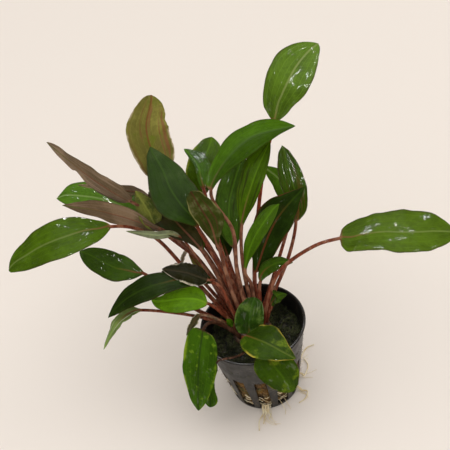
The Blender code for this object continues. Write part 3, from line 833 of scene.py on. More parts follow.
def back_leaves():
    """Leaves that stand up and reach back."""
    return [
        leaf("leaf_back_old_twisted", (-28, 64, 102), (-31, 82, 123), (-24, 96, 136), (0.4, -0.6, 0.4),
             "old", far=(3, 9, 12.2, 12.2, 11.5, 10, 9, 6.5, 2.6),
             near=(2, 8.2, 10, 12, 11.5, 8.5, 6.5, 4.5, 2.2), tip_face=(0.2, -0.8, 0.5),
             stalk=[(-14.2, 44.2, 74)], fold=12, wave=0.8, waves=2.2, ragged=0.03, centring=0.5),
        leaf("leaf_back_dark_broad", (-16, 29.8, 96), (-24, 46.8, 110), (-31, 73, 121), (0.2, -0.7, 0.7),
             "blue_green", far=(2, 6.2, 9.7, 11, 10.2, 9, 6.2, 3, 0.8),
             near=(0.8, 4.8, 10.2, 12.5, 11.7, 8.8, 6.2, 3.8, 1), stalk=[(-9.5, 19.5, 72)], fold=8),
        leaf("leaf_back_dark_under", (-17, 26, 84), (-26, 40.5, 92.5), (-38, 64, 98.5), (0.1, -0.5, 0.8),
             "dark_brown", far=(2, 4, 5, 5.5, 5.5, 5, 4, 2.6, 0.9),
             near=(0.8, 2, 4, 7.2, 9.6, 8.4, 5.6, 2.8, 0.9), centring=0, wave=0.2, stalk=[(-11, 15, 68)]),
        leaf("leaf_centre_purple", (-8, 19, 90.5), (-11, 28, 104), (-15, 36, 116), (0.2, 0.8, -0.4),
             "purple_dark", far=(1, 2.5, 4, 5, 6, 6.2, 5.2, 4, 1.4),
             near=(0.5, 2.8, 6.7, 8.6, 7.7, 6.5, 5, 4, 1.2), stalk=[(-6.5, 9, 66)], fold=16, centring=0.5,
             rib=0.8, wave=0.2),
        leaf("leaf_back_light_round", (-9, 51, 98), (-6, 60, 110), (2, 72, 118), (0, -0.6, 0.7), "round",
             far=(2, 5.2, 7, 7.7, 8.5, 8.2, 7, 5, 1.8), near=(3, 6.5, 8.2, 8.6, 8.2, 7.2, 5.6, 3.8, 1.4),
             stalk=[(-5, 24, 72)], centring=0.3),
        leaf("leaf_back_small_folded", (-8.6, 46.5, 106), (-8.8, 57, 114), (-14, 67.5, 118),
             (0.3, -0.7, 0.6), "small_green", far=(3, 5.5, 6.2, 6.4, 6, 5, 3.4, 1.8, 0.6),
             near=(1.2, 1.8, 2, 2, 2, 1.8, 1.3, 0.8, 0.3), stalk=[(-6, 18, 74)], fold=18, centring=0),
        leaf("leaf_back_arching", (-5, 35, 114), (17, 45, 131), (44, 49, 130), (0, -0.35, 0.9), "arching",
             far=(0.8, 2.4, 4.4, 6.2, 6.7, 5, 2.8, 1.2, 0.4),
             near=(2.4, 4.8, 7.5, 10.2, 10.3, 10.5, 9.6, 6, 1.6), stalk=[(-1.8, 14, 72), (1, 25, 93)],
             fold=-26, centring=0, cup=0.2),
        leaf("leaf_back_folded_tall", (6, 27, 93), (16, 36, 111), (30, 50, 124), (-0.5, -0.6, 0.5),
             "folded", far=(0.8, 2.5, 4.5, 5.8, 6, 5.2, 3.8, 2, 0.6),
             near=(1, 3, 5, 6.5, 7.2, 7.4, 6, 3.6, 1), stalk=[(1.8, 17, 71)], fold=20, centring=0),
        leaf("leaf_back_blue_dark", (-0.3, 24.3, 82), (2.2, 39.8, 97), (15.5, 58, 114), (-0.1, -0.6, 0.7),
             "deep_blue", far=(1.5, 4, 6, 7, 7.4, 7.2, 6.2, 4, 1.5), stalk=[(-1.5, 15, 64)]),
        leaf("leaf_top_right", (35, 61, 126), (43, 66, 144), (65, 79, 154.8), (-0.1, -0.6, 0.8), "apple",
             far=(1.2, 4.7, 7.5, 10.7, 12.2, 11, 8, 4.5, 2), near=(2.7, 6, 8, 9, 10.6, 11.9, 10, 6.4, 2.4),
             stalk=[(9, 24, 72), (24, 51, 107)], fold=12, wave=0.35),
    ]


def right_leaves():
    """Leaves that reach to the right."""
    return [
        leaf("leaf_right_long", (51, 3, 92), (77, -7, 98), (106, -10, 91), (0, -0.2, 0.97), "long_green",
             far=(4.6, 9.5, 10, 11, 13.2, 12.7, 10.2, 6.7, 2.4),
             near=(5, 8.5, 10.2, 11.2, 11.5, 11.2, 10, 6.5, 2),
             stalk=[(10, 2, 61), (19, 6, 76), (36, 6, 87)], fold=8, wave=0.4, waves=4),
        leaf("leaf_right_striped", (33.8, 30.4, 84), (36, 41, 100), (36, 60.9, 111), (0.2, -0.6, 0.7),
             "striped", far=(1.8, 5.2, 6.7, 7.2, 7, 6, 4.5, 3.2, 1),
             near=(0.8, 2.5, 4, 5.2, 6.4, 6, 4.5, 2.8, 0.6), stalk=[(15, 13, 55), (26, 22, 68)]),
        leaf("leaf_right_narrow_behind", (33.1, 49.4, 72), (32.6, 59.4, 86), (24.3, 65.9, 96),
             (0.1, -0.6, 0.7), "behind_green", width=11, stalk=[(18, 26, 56)]),
        leaf("leaf_right_dark", (7.3, 17, 68), (23.4, 25.8, 88), (42, 32.5, 105), (0.3, -0.6, 0.7),
             "dark_red_edge", far=(1.6, 4, 5.7, 6, 6.5, 5.5, 3.2, 1.4, 0.4),
             near=(0.8, 3.2, 7.5, 11.2, 13, 11, 6.7, 2.8, 0.6), fold=14, centring=0.6),
        leaf("leaf_right_light_front", (2.6, 14, 75), (12.4, 20.4, 92), (27, 26, 103), (-0.4, -0.6, 0.6),
             "fresh", far=(0.4, 1.2, 2.8, 4.2, 4.7, 4.2, 3.2, 1.6, 0.5),
             near=(0.4, 1.2, 3.2, 4.1, 4.2, 4.2, 4, 2.8, 0.8), stalk=[(4, 11.3, 64)], fold=12),
        leaf("leaf_right_small_low", (9, 11, 67), (18, 11, 73), (27, 9, 77), (0, -0.4, 0.9), "middle_green",
             far=(0.3, 0.8, 1, 1, 0.8, 0.6, 0.4, 0.3, 0.1),
             near=(1.2, 4, 6.3, 6.8, 6.4, 5.2, 3.6, 1.8, 0.5), fold=12),
        leaf("leaf_right_in_pot", (12, 5, 53), (16, 4, 57), (21, 8, 56), (0, -0.2, 0.97), "middle_green",
             far=(0.3, 0.6, 1, 1, 0.8, 0.6, 0.4, 0.3, 0.2),
             near=(2, 5.6, 7.6, 7.4, 6.8, 6.4, 5.4, 3.6, 1.5), fold=12, radius=0.7, wave=0.4),
    ]


def front_leaves():
    """Leaves in front, most of them hanging over the rim."""
    return [
        leaf("leaf_front_left_hanging", (-25, -6, 60), (-34, -16.5, 42), (-38, -23.5, 18),
             (-0.5, -0.8, 0.4), "hanging", far=(4, 7, 7.8, 8, 7.4, 6.2, 4.8, 3, 1),
             near=(4.5, 8.4, 10.2, 11, 10.7, 8.8, 6.2, 3.4, 1), stalk=[(-17, -3, 59)], fold=-3),
        leaf("leaf_front_left_behind", (-22.8, -18, 46), (-30, -11.7, 24), (-32.3, -16.3, 9.5),
             (-0.4, -0.8, 0.3), "hanging", far=(1, 2, 2.6, 3, 3.2, 3.4, 3.4, 3, 1.4),
             near=(1, 2, 2.6, 3, 3.4, 4.2, 4.6, 4, 1.8),
             stalk=[(-3, -17, 51), (-11, -22.5, 53.5), (-18.8, -21.6, 52.6)], fold=-8, radius=0.5),
        leaf("leaf_front_centre_spoon", (-3, -7.6, 51), (-0.6, -5.1, 60), (4, -0.4, 69), (0, -0.8, 0.6),
             "blistered", far=(4, 6.2, 7, 7.3, 7.1, 6.4, 5.4, 4, 1.8),
             near=(4, 6.2, 7.2, 7.6, 7.4, 6.6, 5.2, 3.8, 1.8), fold=-8, wave=0.35),
        leaf("leaf_front_yellow_edged", (-6, -13, 55), (4, -24, 59), (17, -34, 55), (0.2, -0.3, 0.9),
             "yellow_edged", far=(2.6, 5, 7.7, 9.2, 9, 7.2, 4.6, 2.5, 0.9),
             near=(4.5, 8, 10.2, 11, 10.2, 7.7, 4.6, 2.2, 0.6), fold=6, wave=0.4, ragged=0.012),
        leaf("leaf_front_over_rim", (3, -24, 55), (8, -33, 48), (12, -35, 31), (0.1, -0.9, 0.4), "over_rim",
             far=(5, 9.4, 10.8, 11, 10.4, 9.2, 7.4, 5, 2.2), near=(4, 6.4, 7.4, 8, 8.2, 7.8, 6.2, 4.2, 1.8),
             fold=-6, ragged=0.01),
    ]


def small_growth():
    """Little leaves and torn bits beside the large ones; each grows from a foot of its own."""
    return [
        leaf("mottled_leaf_left", (-35.6, 40.8, 90.2), (-39.1, 46, 100.3), (-43, 53.1, 110.1),
             (0.2, -0.7, 0.65), "mottled", width=12, foot=(-8.5, 5.5, 44.6), stalk=[(-21, 33.5, 71)],
             radius=0.6, centring=0.5),
        leaf("shoot_at_the_crown", (-10.6, -1.5, 52), (-11.3, -1.2, 55.5), (-12.5, -1, 58),
             (0.2, -0.8, 0.5), "fresh", width=3.4, foot=(-9, -3.5, 44.5), radius=0.5, rib=0.1),
        leaf("young_leaf_behind", (-16.5, 31, 78), (-16.2, 35, 82), (-16, 39, 85), (0.3, -0.7, 0.6),
             "fresh", width=5, foot=(-4.5, 4.5, 44.6), stalk=[(-12, 22, 67)], radius=0.6),
        leaf("young_leaf_left", (-16.5, 21.5, 66), (-20.5, 29.5, 70), (-24.5, 37, 73), (0.3, -0.6, 0.7),
             "old", width=4.5, foot=(-7, 5.5, 44.6), radius=0.5),
        leaf("inner_dark_leaf", (-4.5, 26, 75), (-5.2, 30, 81.5), (-6, 34.5, 87), (0, -0.6, 0.7),
             "dark_green", width=9, foot=(-1.5, 5.5, 44.6), stalk=[(-3, 16, 62)], radius=0.7),
        leaf("pale_underside_strip", (-26, 33, 89.5), (-38.3, 36, 92), (-53.5, 44.5, 92), (0, 0.8, -0.5),
             "greyish", width=4.2, foot=(-4.5, 3.5, 44.6), stalk=[(-16, 18.5, 72)], radius=0.5, wave=0.3),
        leaf("decayed_flap", (-17, 10.9, 76.7), (-27, 15.4, 81.1), (-39, 20.9, 82.3), (0, -0.5, 0.85),
             "decayed", width=11, foot=(-14, 12.2, 74.2), radius=0.5, fold=-8, ragged=0.09, wave=0.9,
             waves=3.5, rib=0.2),
        leaf("curled_tatter", (-30, 37, 66.5), (-27, 41, 69), (-24, 43.5, 70.5), (0.3, -0.6, 0.7), "papery",
             width=2.2, foot=(-37, 33, 66.3), radius=0.4, fold=35, ragged=0.35, wave=0.9),
    ]


def grow_leaves():
    """Every leaf in the place of its solid, and then the small growth."""
    looks = leaf_looks()
    leaves = left_leaves() + back_leaves() + right_leaves() + front_leaves()
    for number, (item, foot) in enumerate(zip(leaves, stalk_feet(leaves))):
        piece = grow_leaf("grown_" + item["name"], item, foot, float(number), looks[item["finish"]])
        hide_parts(item["name"])
    for number, item in enumerate(small_growth()):
        piece = grow_leaf(item["name"], item, Vector(item["foot"]), 50.0 + number, looks[item["finish"]])


# Pot


def slot_angle(height, column):
    """Angle of one upright line of the wall; lines along a slot keep its width at every height."""
    sector, place = divmod(column, SECTOR_COLUMNS)
    middle = math.radians(SLOT_TURN - 90.0) + math.tau * sector / SLOTS
    if place <= SLOT_COLUMNS:
        offset = SLOT_WIDTH * (place / SLOT_COLUMNS - 0.5)
        return middle + math.asin(offset / wall_radius(height))
    edge = math.asin(SLOT_WIDTH / 2 / wall_radius(height))
    share = (place - SLOT_COLUMNS) / BAR_COLUMNS
    return middle + edge + (math.tau / SLOTS - 2 * edge) * share


def wall_profile():
    """Points of the wall from its foot up the outside, over the rim and down the inside."""
    bead = POT_HEIGHT - RIM_BEAD
    heights = [0.0, FOOT_ROW, SLOT_BOTTOM]
    heights += [SLOT_BOTTOM + (SLOT_TOP - SLOT_BOTTOM) * n / SLOT_ROWS for n in range(1, SLOT_ROWS + 1)]
    heights += [SLOT_TOP + (bead - SLOT_TOP) * n / BAND_ROWS for n in range(1, BAND_ROWS + 1)]
    outside = [(wall_radius(height), height) for height in heights]
    inside = [(radius - WALL, height) for radius, height in reversed(outside)]
    lip = RIM_BEAD / 2
    turns = [math.radians(-80 + 26 * step) for step in range(BEAD_ROWS)]
    rim = [(RIM_RADIUS - lip + math.cos(turn) * lip, POT_HEIGHT - lip + math.sin(turn) * lip)
           for turn in turns]
    return outside + rim + inside


def wall_faces(profile):
    """Faces of the wall, a closed loop of rows, with the slots left open and their edges closed."""
    rows, columns = len(profile), SLOTS * SECTOR_COLUMNS
    heights = [height for _, height in profile]

    def corner(row, column):
        return row % rows * columns + column % columns

    faces = []
    for row in range(rows):
        low, high = sorted((heights[row], heights[(row + 1) % rows]))
        between = low > SLOT_BOTTOM - 0.01 and high < SLOT_TOP + 0.01 and high - low > 0.1
        for column in range(columns):
            if not between or column % SECTOR_COLUMNS >= SLOT_COLUMNS:
                faces.append((corner(row, column), corner(row, column + 1),
                              corner(row + 1, column + 1), corner(row + 1, column)))
    first = heights.index(SLOT_BOTTOM)
    last = first + SLOT_ROWS
    for start in range(0, columns, SECTOR_COLUMNS):
        edge = [(first, start + n) for n in range(SLOT_COLUMNS)]
        edge += [(row, start + SLOT_COLUMNS) for row in range(first, last)]
        edge += [(last, start + n) for n in range(SLOT_COLUMNS, 0, -1)]
        edge += [(row, start) for row in range(last, first, -1)]
        for (row, column), (row_after, column_after) in zip(edge, edge[1:] + edge[:1]):
            faces.append((corner(row, column), corner(row_after, column_after),
                          corner(-1 - row_after, column_after), corner(-1 - row, column)))
    return faces


def make_pot():
    profile = wall_profile()
    points = [
        around(slot_angle(min(height, POT_HEIGHT), column), radius, height)
        for radius, height in profile for column in range(SLOTS * SECTOR_COLUMNS)
    ]
    pot = new_piece("net_pot", points, wall_faces(profile), plastic_finish())
    face_outwards(pot)
    add_base_plate(pot)
    bevel = pot.modifiers.new("soft_edges", "BEVEL")
    bevel.width = SOFT_EDGE * MM
    bevel.segments = 2
    bevel.limit_method = "ANGLE"
    bevel.angle_limit = math.radians(40.0)
    pot.data.set_sharp_from_angle(angle=math.radians(50.0))
    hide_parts("pot")


def plate_angle(radius, column):
    """Angle of one line of the base plate; lines along a spoke keep its width outside the disc."""
    sector, place = divmod(column, PLATE_SECTOR)
    middle = math.tau * sector / BASE_OPENINGS
    edge = math.asin(BASE_SPOKE / 2 / max(radius, BASE_DISC_RADIUS))
    if place <= SPOKE_COLUMNS:
        return middle + edge * (2 * place / SPOKE_COLUMNS - 1)
    share = (place - SPOKE_COLUMNS) / OPENING_COLUMNS
    return middle + edge + (math.tau / BASE_OPENINGS - 2 * edge) * share


def plate_open(ring, column):
    """Whether the base plate is open from this ring and line to the next."""
    in_opening = column % PLATE_SECTOR >= SPOKE_COLUMNS
    return in_opening and BASE_DISC_RADIUS <= BASE_RINGS[ring] < BASE_OPENING_REACH


def add_base_plate(pot):
    """A plate with a middle disc and spokes that reach into the foot of the wall."""
    plate = bmesh.new()
    columns = BASE_OPENINGS * PLATE_SECTOR
    layers, middles = [], []
    for height in (0.0, BASE_PLATE):
        layers.append([
            [plate.verts.new(around(plate_angle(radius, column)) * radius * MM + UP * height * MM)
             for column in range(columns)]
            for radius in BASE_RINGS
        ])
    for height in (0.0, BASE_PLATE):
        middles.append(plate.verts.new((0.0, 0.0, height * MM)))
    under, over = layers

    def upright(first, second):
        """A face from two places on the underside to the same places above."""
        plate.faces.new([under[ring][column] for ring, column in (first, second)]
                        + [over[ring][column] for ring, column in (second, first)])

    for column in range(columns):
        after = (column + 1) % columns
        for middle, rings in zip(middles, layers):
            plate.faces.new((middle, rings[0][column], rings[0][after]))
            for ring, (low, high) in enumerate(zip(rings, rings[1:])):
                if not plate_open(ring, column):
                    plate.faces.new((low[column], high[column], high[after], low[after]))
        upright((-1, column), (-1, after))
        for ring in range(len(BASE_RINGS) - 1):
            if plate_open(ring, column):
                for beside, edge in ((column - 1, column), (column + 1, after)):
                    if not plate_open(ring, beside):
                        upright((ring, edge), (ring + 1, edge))
                for far, level in ((ring - 1, ring), (ring + 1, ring + 1)):
                    if not plate_open(far, column):
                        upright((level, column), (level, after))
    bmesh.ops.recalc_face_normals(plate, faces=plate.faces)
    plate.from_mesh(pot.data)
    plate.to_mesh(pot.data)
    plate.free()


def plastic_finish():
    """Black moulded plastic: grey where it is rubbed, with dried water marks, darker towards its foot and
    with soil there.
    """
    make = Finish("black_pot_plastic")
    rubbed = make.step(make.noise(7.0, 5.0), 0.5, 0.72)
    scratches = make.step(make.noise(3.0, 4.0, (1.0, 1.0, 0.12)), 0.6, 0.7)
    drips = make.step(make.noise(3.4, 4.0, (1.0, 1.0, 5.0), 3.0), 0.52, 0.74)
    # low makes the plastic darker towards its foot, and keeps the soil there.
    low = make.step(make.add("ShaderNodeSeparateXYZ", {"Vector": make.place}).outputs["Z"], 0.030, 0.002)
    soil = make.times(make.step(make.noise(4.5, 5.0, shift=9.0), 0.5, 0.68), low)
    colour = as_light(30, 28, 26)
    for share, strength, mark_colour in (
        (rubbed, 0.5, (62, 57, 51)), (scratches, 0.35, (90, 84, 76)), (drips, 0.3, (84, 76, 62)),
        (low, 0.6, (26, 23, 19)), (soil, 0.6, (86, 72, 44)),
    ):
        colour = make.tint(colour, as_light(*mark_colour), share, strength)
    rough = make.add("ShaderNodeMapRange", {"Value": make.noise(5.0, 4.0, shift=2.0), "From Min": 0.3,
                                            "From Max": 0.7, "To Min": 0.24, "To Max": 0.5})
    relief = make.times(scratches, -0.4, make.noise(0.8, 2.0))
    return make.done(colour, rough.outputs["Result"], make.bump(relief, 0.07), specular=0.4)


# Mineral wool, moss and rootstock


def plug_outline():
    """Radius and height of the plug from the middle of its top to the middle of its foot."""
    def inside(height):
        return wall_radius(height) - PLUG_CLEARANCE

    shares = [step / PLUG_TOP_STEPS for step in range(PLUG_TOP_STEPS + 1)]
    top = [(PLUG_TOP_RADIUS * step / PLUG_TOP_STEPS, PLUG_TOP - 0.5 * share ** 2)
           for step, share in enumerate(shares)]
    shoulder = [(inside(PLUG_SHOULDER) - 0.9, 39.8), (inside(PLUG_SHOULDER) - 0.2, 39.0)]
    fall = PLUG_HEEL - PLUG_SHOULDER
    flank = [(inside(h), h) for h in
             (PLUG_SHOULDER + fall * n / PLUG_FLANK_STEPS for n in range(PLUG_FLANK_STEPS + 1))]
    heel = [(15.4, 3.6)] + [(radius, PLUG_BOTTOM) for radius in (PLUG_BOTTOM_RADIUS, 8.0, 4.0, 0.0)]
    return top + shoulder + flank + heel


def slot_window(turn, height):
    """1 behind the middle of a slot, 0 behind a bar or above the slots."""
    sector = math.tau / SLOTS
    first = math.radians(SLOT_TURN - 90.0)
    away = abs((turn - first + sector / 2) % sector - sector / 2) * wall_radius(height)
    beside = smooth_share((SLOT_WIDTH / 2 - away) / 1.0)
    return beside * smooth_share((SLOT_TOP - height) / 1.2) * smooth_share((height - SLOT_BOTTOM) / 1.2)


def make_plug():
    """Mineral wool that fills the pot, lumpy on top and swollen into the slots."""
    outline = plug_outline()
    rings, marks = [], {"window": [], "moss": []}
    for row, (radius, height) in enumerate(outline):
        on_top = row <= PLUG_TOP_STEPS
        ring = []
        for step in range(PLUG_TURNS if 0 < row < len(outline) - 1 else 1):
            turn = math.tau * step / PLUG_TURNS
            way = around(turn)
            point = way * radius + UP * height
            window = slot_window(turn, height)
            lumps = noise.fractal(point / 5.0, 0.8, 2.1, 4)
            fibres = noise.fractal(Vector((turn * 9.0, point.z * 1.4, radius / 4.0)), 0.7, 2.2, 4)
            if on_top:
                inner = smooth_share((PLUG_TOP_RADIUS - radius) / 3.0)
                point.z += -0.7 + 0.9 * lumps * inner + 0.3 * fibres
                point.z = min(point.z, PLUG_TOP - 0.05) if radius < CROWN_RADIUS + 3 else point.z
            elif radius > PLUG_BOTTOM_RADIUS:
                point += way * (SLOT_SWELL * window * (0.8 + lumps) + 0.3 * fibres - 0.15)
            ring.append(point)
            marks["window"].append(0.0 if on_top else window)
            marks["moss"].append(1.0 if on_top else smooth_share((height - MOSS_START) / 4.0))
        rings.append(ring)
    starts = [sum(len(ring) for ring in rings[:row]) for row in range(len(rings))]
    faces = []
    for row in range(len(rings) - 1):
        start, below = starts[row], starts[row + 1]
        for step in range(PLUG_TURNS):
            after = (step + 1) % PLUG_TURNS
            if len(rings[row]) == 1:
                faces.append((start, below + step, below + after))
            elif len(rings[row + 1]) == 1:
                faces.append((start + after, start + step, below))
            else:
                faces.append((start + step, below + step, below + after, start + after))
    plug = new_piece("wool_plug", [point for ring in rings for point in ring], faces, wool_finish())
    for name, values in marks.items():
        mark(plug, name, values)
    face_outwards(plug)
    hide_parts("rockwool")
    return plug


def wool_finish():
    """Wet mineral wool: rusty brown and olive with painted shade in its hollows, dark and mossy on top."""
    make = Finish("wet_mineral_wool")
    strands = make.noise(0.9, 4.0, (4.0, 4.0, 1.0))
    rust = make.tones(make.noise(5.0, 4.0), 0.35, 0.66, (38, 24, 10), (138, 98, 40))
    rust = make.tint(rust, as_light(84, 84, 36), make.step(make.noise(7.0, 3.0, shift=4.0), 0.5, 0.68))
    # Painted shade: darker where the strands' relief sinks into hollows.
    rust = make.tint(rust, as_light(28, 20, 12), make.step(strands, 0.5, 0.3))
    rust = make.tint(rust, as_light(152, 118, 64), make.step(strands, 0.56, 0.7), 0.6)
    soil = make.tones(make.noise(2.4, 5.0), 0.36, 0.66, (20, 18, 12), (62, 58, 36))
    relief = make.bump(make.calc("ADD", strands, make.noise(0.4, 3.0)), 0.5)
    colour = make.mix(make.mark("moss"), rust, soil)
    return make.done(colour, 0.62, relief, coat=0.08, coat_roughness=0.3, specular=0.15)


def moss_finish():
    make = Finish("moss")
    colour = make.tones(make.noise(6.0, 4.0), 0.35, 0.7, (34, 42, 20), (100, 106, 64))
    pale = make.step(make.noise(1.5, 3.0, shift=7.0), 0.6, 0.75)
    return make.done(make.tint(colour, as_light(118, 120, 84), pale), 0.6, specular=0.15)


def fibre_finish():
    make = Finish("loose_wool_fibres")
    return make.done(make.tones(make.noise(3.0, 3.0), 0.35, 0.65, (96, 66, 34), (176, 146, 96)), 0.5)


def make_sprig():
    """One tuft of moss: a few narrow pointed leaflets on a short stem."""
    points, faces = [], []
    for number in range(6):
        way = around(math.radians(LEAFLET_TURN) * number)
        beside = Vector((-way.y, way.x, 0.0))
        base = UP * (0.10 * number)
        middle = base + way * 0.30 + UP * 0.34
        tip = base + way * 0.46 + UP * 0.74
        first = len(points)
        points += [base, middle + beside * 0.10, tip, middle - beside * 0.10]
        points.append(middle - way * 0.05 + UP * 0.03)
        corners = ((0, 1, 4), (1, 2, 4), (2, 3, 4), (3, 0, 4), (0, 3, 1), (3, 2, 1))
        faces += [tuple(first + corner for corner in face) for face in corners]
    return pattern_object("moss_sprig", points, faces)


def make_fibre():
    """One loose fibre: a thin bent strand that lies over on its side."""
    route = [Vector(point) for point in ((0, 0, 0), (0.4, 0.1, 0.35), (1.1, 0.25, 0.45), (1.8, 0.1, 0.2))]
    skins = Skins()
    skins.add(strand_rings(route, lambda share: 0.045 * (1.0 - 0.5 * share), 3, 5))
    return pattern_object("fibre", skins.points, skins.faces)


def pattern_object(name, points, faces):
    """A shape to be repeated; it isn't part of the plant by itself."""
    obj = in_scene(name, new_mesh(name, points, faces))
    face_outwards(obj)
    return obj


def scattering_tree():
    """Spreads copies of a shape over a surface, denser where a mark on it is high."""
    tree = bpy.data.node_groups.new("scatter_over_surface", "GeometryNodeTree")
    for label, kind in (
        ("Geometry", "Geometry"), ("Shape", "Object"), ("Finish", "Material"), ("Where", "String"),
        ("Per square metre", "Float"), ("Smallest", "Float"), ("Largest", "Float"), ("Lean", "Float"),
        ("Seed", "Int"),
    ):
        tree.interface.new_socket(label, in_out="INPUT", socket_type="NodeSocket" + kind)
    tree.interface.new_socket("Geometry", in_out="OUTPUT", socket_type="NodeSocketGeometry")
    make = Nodes(tree)
    given = make.add("NodeGroupInput").outputs
    where = make.add("GeometryNodeInputNamedAttribute", {"Name": given["Where"]}, data_type="FLOAT")
    density = make.times(where.outputs["Attribute"], given["Per square metre"])
    spread = make.add("GeometryNodeDistributePointsOnFaces", {
        "Mesh": given["Geometry"], "Density": density, "Seed": given["Seed"],
    }).outputs
    size = make.add("FunctionNodeRandomValue", {
        "Min": given["Smallest"], "Max": given["Largest"], "Seed": given["Seed"],
    })
    least, most = [
        make.add("ShaderNodeCombineXYZ", {"X": lean, "Y": lean, "Z": turn}).outputs[0]
        for lean, turn in ((make.times(given["Lean"], -1.0), -math.pi), (given["Lean"], math.pi))
    ]
    lean = make.add("FunctionNodeRandomValue", data_type="FLOAT_VECTOR")
    make.give(lean.inputs["Min"], least)
    make.give(lean.inputs["Max"], most)
    turned = make.add("FunctionNodeRotateRotation", {
        "Rotation": spread["Rotation"], "Rotate By": lean.outputs["Value"],
    }, rotation_space="LOCAL")
    shape = make.add("GeometryNodeObjectInfo", {"Object": given["Shape"]})
    copies = make.add("GeometryNodeInstanceOnPoints", {
        "Points": spread["Points"], "Instance": shape.outputs["Geometry"],
        "Rotation": turned.outputs["Rotation"], "Scale": size.outputs[1],
    })
    real = make.add("GeometryNodeRealizeInstances", {"Geometry": copies.outputs["Instances"]})
    finished = make.add("GeometryNodeSetMaterial", {
        "Geometry": real.outputs["Geometry"], "Material": given["Finish"],
    })
    make.add("NodeGroupOutput", {"Geometry": finished.outputs["Geometry"]})
    return tree


def scatter(tree, name, surface, shape, settings):
    """A piece of copies of a shape over a surface; settings are the tree's inputs by name."""
    carrier = in_scene(name + "_carrier", surface.data.copy())
    spread = carrier.modifiers.new("scatter", "NODES")
    spread.node_group = tree
    sockets = {item.name: item.identifier for item in tree.interface.items_tree if item.in_out == "INPUT"}
    for label, value in {"Shape": shape, **settings}.items():
        spread[sockets[label]] = value
    graph = bpy.context.evaluated_depsgraph_get()
    mesh = bpy.data.meshes.new_from_object(carrier.evaluated_get(graph))
    carrier.modifiers.remove(spread)
    bpy.data.objects.remove(carrier)
    mesh.name = name
    piece = in_scene(name, mesh)
    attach(piece, "root")


def dress_plug(plug):
    """Moss on top of the plug, and loose fibres in the slots."""
    tree = scattering_tree()
    sprig, fibre = make_sprig(), make_fibre()
    scatter(tree, "moss_tufts", plug, sprig,
            {"Per square metre": 1.5e6, "Where": "moss", "Smallest": 0.8, "Largest": 1.9, "Lean": 0.7,
             "Seed": 3, "Finish": moss_finish()})
    scatter(tree, "wool_fibres", plug, fibre,
            {"Per square metre": 1.4e6, "Where": "window", "Smallest": 0.6, "Largest": 1.5, "Lean": 1.3,
             "Seed": 11, "Finish": fibre_finish()})
    for shape in (sprig, fibre):
        bpy.data.objects.remove(shape)


def bark_finish():
    make = Finish("rootstock_sheaths")
    tone = make.noise(1.6, 4.0, (1.0, 1.0, 2.5))
    return make.done(make.tones(tone, 0.35, 0.65, (46, 28, 18), (120, 84, 52)), 0.6, make.bump(tone, 0.4))


def make_rootstock():
    """The short rootstock: a lumpy mound that the stalks stand on."""
    low = PLUG_TOP + GAP
    rings = []
    for radius, rise in CROWN_PROFILE:
        height = low + rise
        ring = []
        for step in range(CROWN_SIDES):
            way = around(math.tau * step / CROWN_SIDES)
            lump = noise.fractal(Vector((way.x * radius / 3, way.y * radius / 3, height)), 0.8, 2.0, 3)
            point = Vector((*CROWN_CENTRE, height)) + way * min(CROWN_RADIUS, radius * (1.0 + 0.05 * lump))
            point.z += 0.5 * lump * min(1.0, height - low)
            ring.append(point)
        rings.append(ring)
    skins = Skins()
    skins.add(rings)
    crown = skins.piece("rootstock", bark_finish())
    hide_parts("crown")


# Roots


def slot_way_out(slot, side):
    """Points of a root from behind a slot, over its sill and down to the ground, in mm."""
    outward = around(math.radians(SLOT_TURN - 90.0 + slot * 360.0 / SLOTS))
    across = Vector((-outward.y, outward.x, 0.0))
    sill = SLOT_BOTTOM + ROOT_RADIUS + GAP + 0.1
    foot = WALL_BASE_RADIUS + 0.9
    steps = ((foot - 3.5, sill), (foot - 1.0, sill), (foot + 0.9, sill - 0.8), (foot + 2.3, ROOT_FLOOR))
    return [outward * radius + across * side + UP * height for radius, height in steps]


def root_finish():
    """Pale living roots: cream with straw and brown lengths."""
    make = Finish("pale_roots")
    colour = make.tones(make.noise(4.0, 4.0), 0.36, 0.6, (222, 200, 152), (240, 228, 196))
    brown = make.step(make.noise(2.2, 3.0, shift=6.0), 0.7, 0.8)
    colour = make.tint(colour, as_light(176, 148, 104), brown)
    return make.done(colour, 0.4, make.bump(make.noise(0.5, 2.0), 0.08), coat=0.15)


def make_roots():
    finish = root_finish()
    routes = {
        "root_front_left": (-1, -2.0, ((-8.5, -25.5), (-9.5, -31.0))),
        "root_front_middle": (-1, -0.6, ((-5.2, -23.5), (-6.5, -27.5))),
        "root_front_right": (-1, 0.8, ((-1.8, -22.5), (-3.0, -25.5))),
        "root_right_loop": (1, 2.1, ((20.5, -13.5), (18.5, -17.5), (14.5, -19.5))),
        "root_right_near": (2, 1.0, ((24.5, 3.5), (23.5, 9.0))),
        "root_right_far": (3, 0.0, ((26.0, 15.5), (31.0, 17.0))),
    }
    for number, (name, (slot, side, trail)) in enumerate(routes.items()):
        points = slot_way_out(slot, side) + [Vector((x, y, ROOT_FLOOR)) for x, y in trail]
        skins = Skins()
        rings = strand_rings(points, lambda share: ROOT_RADIUS * (1.0 - 0.45 * share ** 2), 12, 60)
        for row, ring in enumerate(rings):
            knot = 1.0 + 0.12 * noise.noise(Vector((row / 4.0, number * 3.0, 0.0)))
            middle = sum(ring, Vector()) / len(ring)
            rings[row] = [lift_off_ground(middle + (point - middle) * knot) for point in ring]
        skins.add(rings)
        piece = skins.piece("living_" + name, finish)
        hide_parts(name)
    make_rootlets(finish)


def lift_off_ground(point):
    """The point, raised where it would lie below the ground."""
    return Vector((point.x, point.y, max(LEAST_HEIGHT, point.z)))


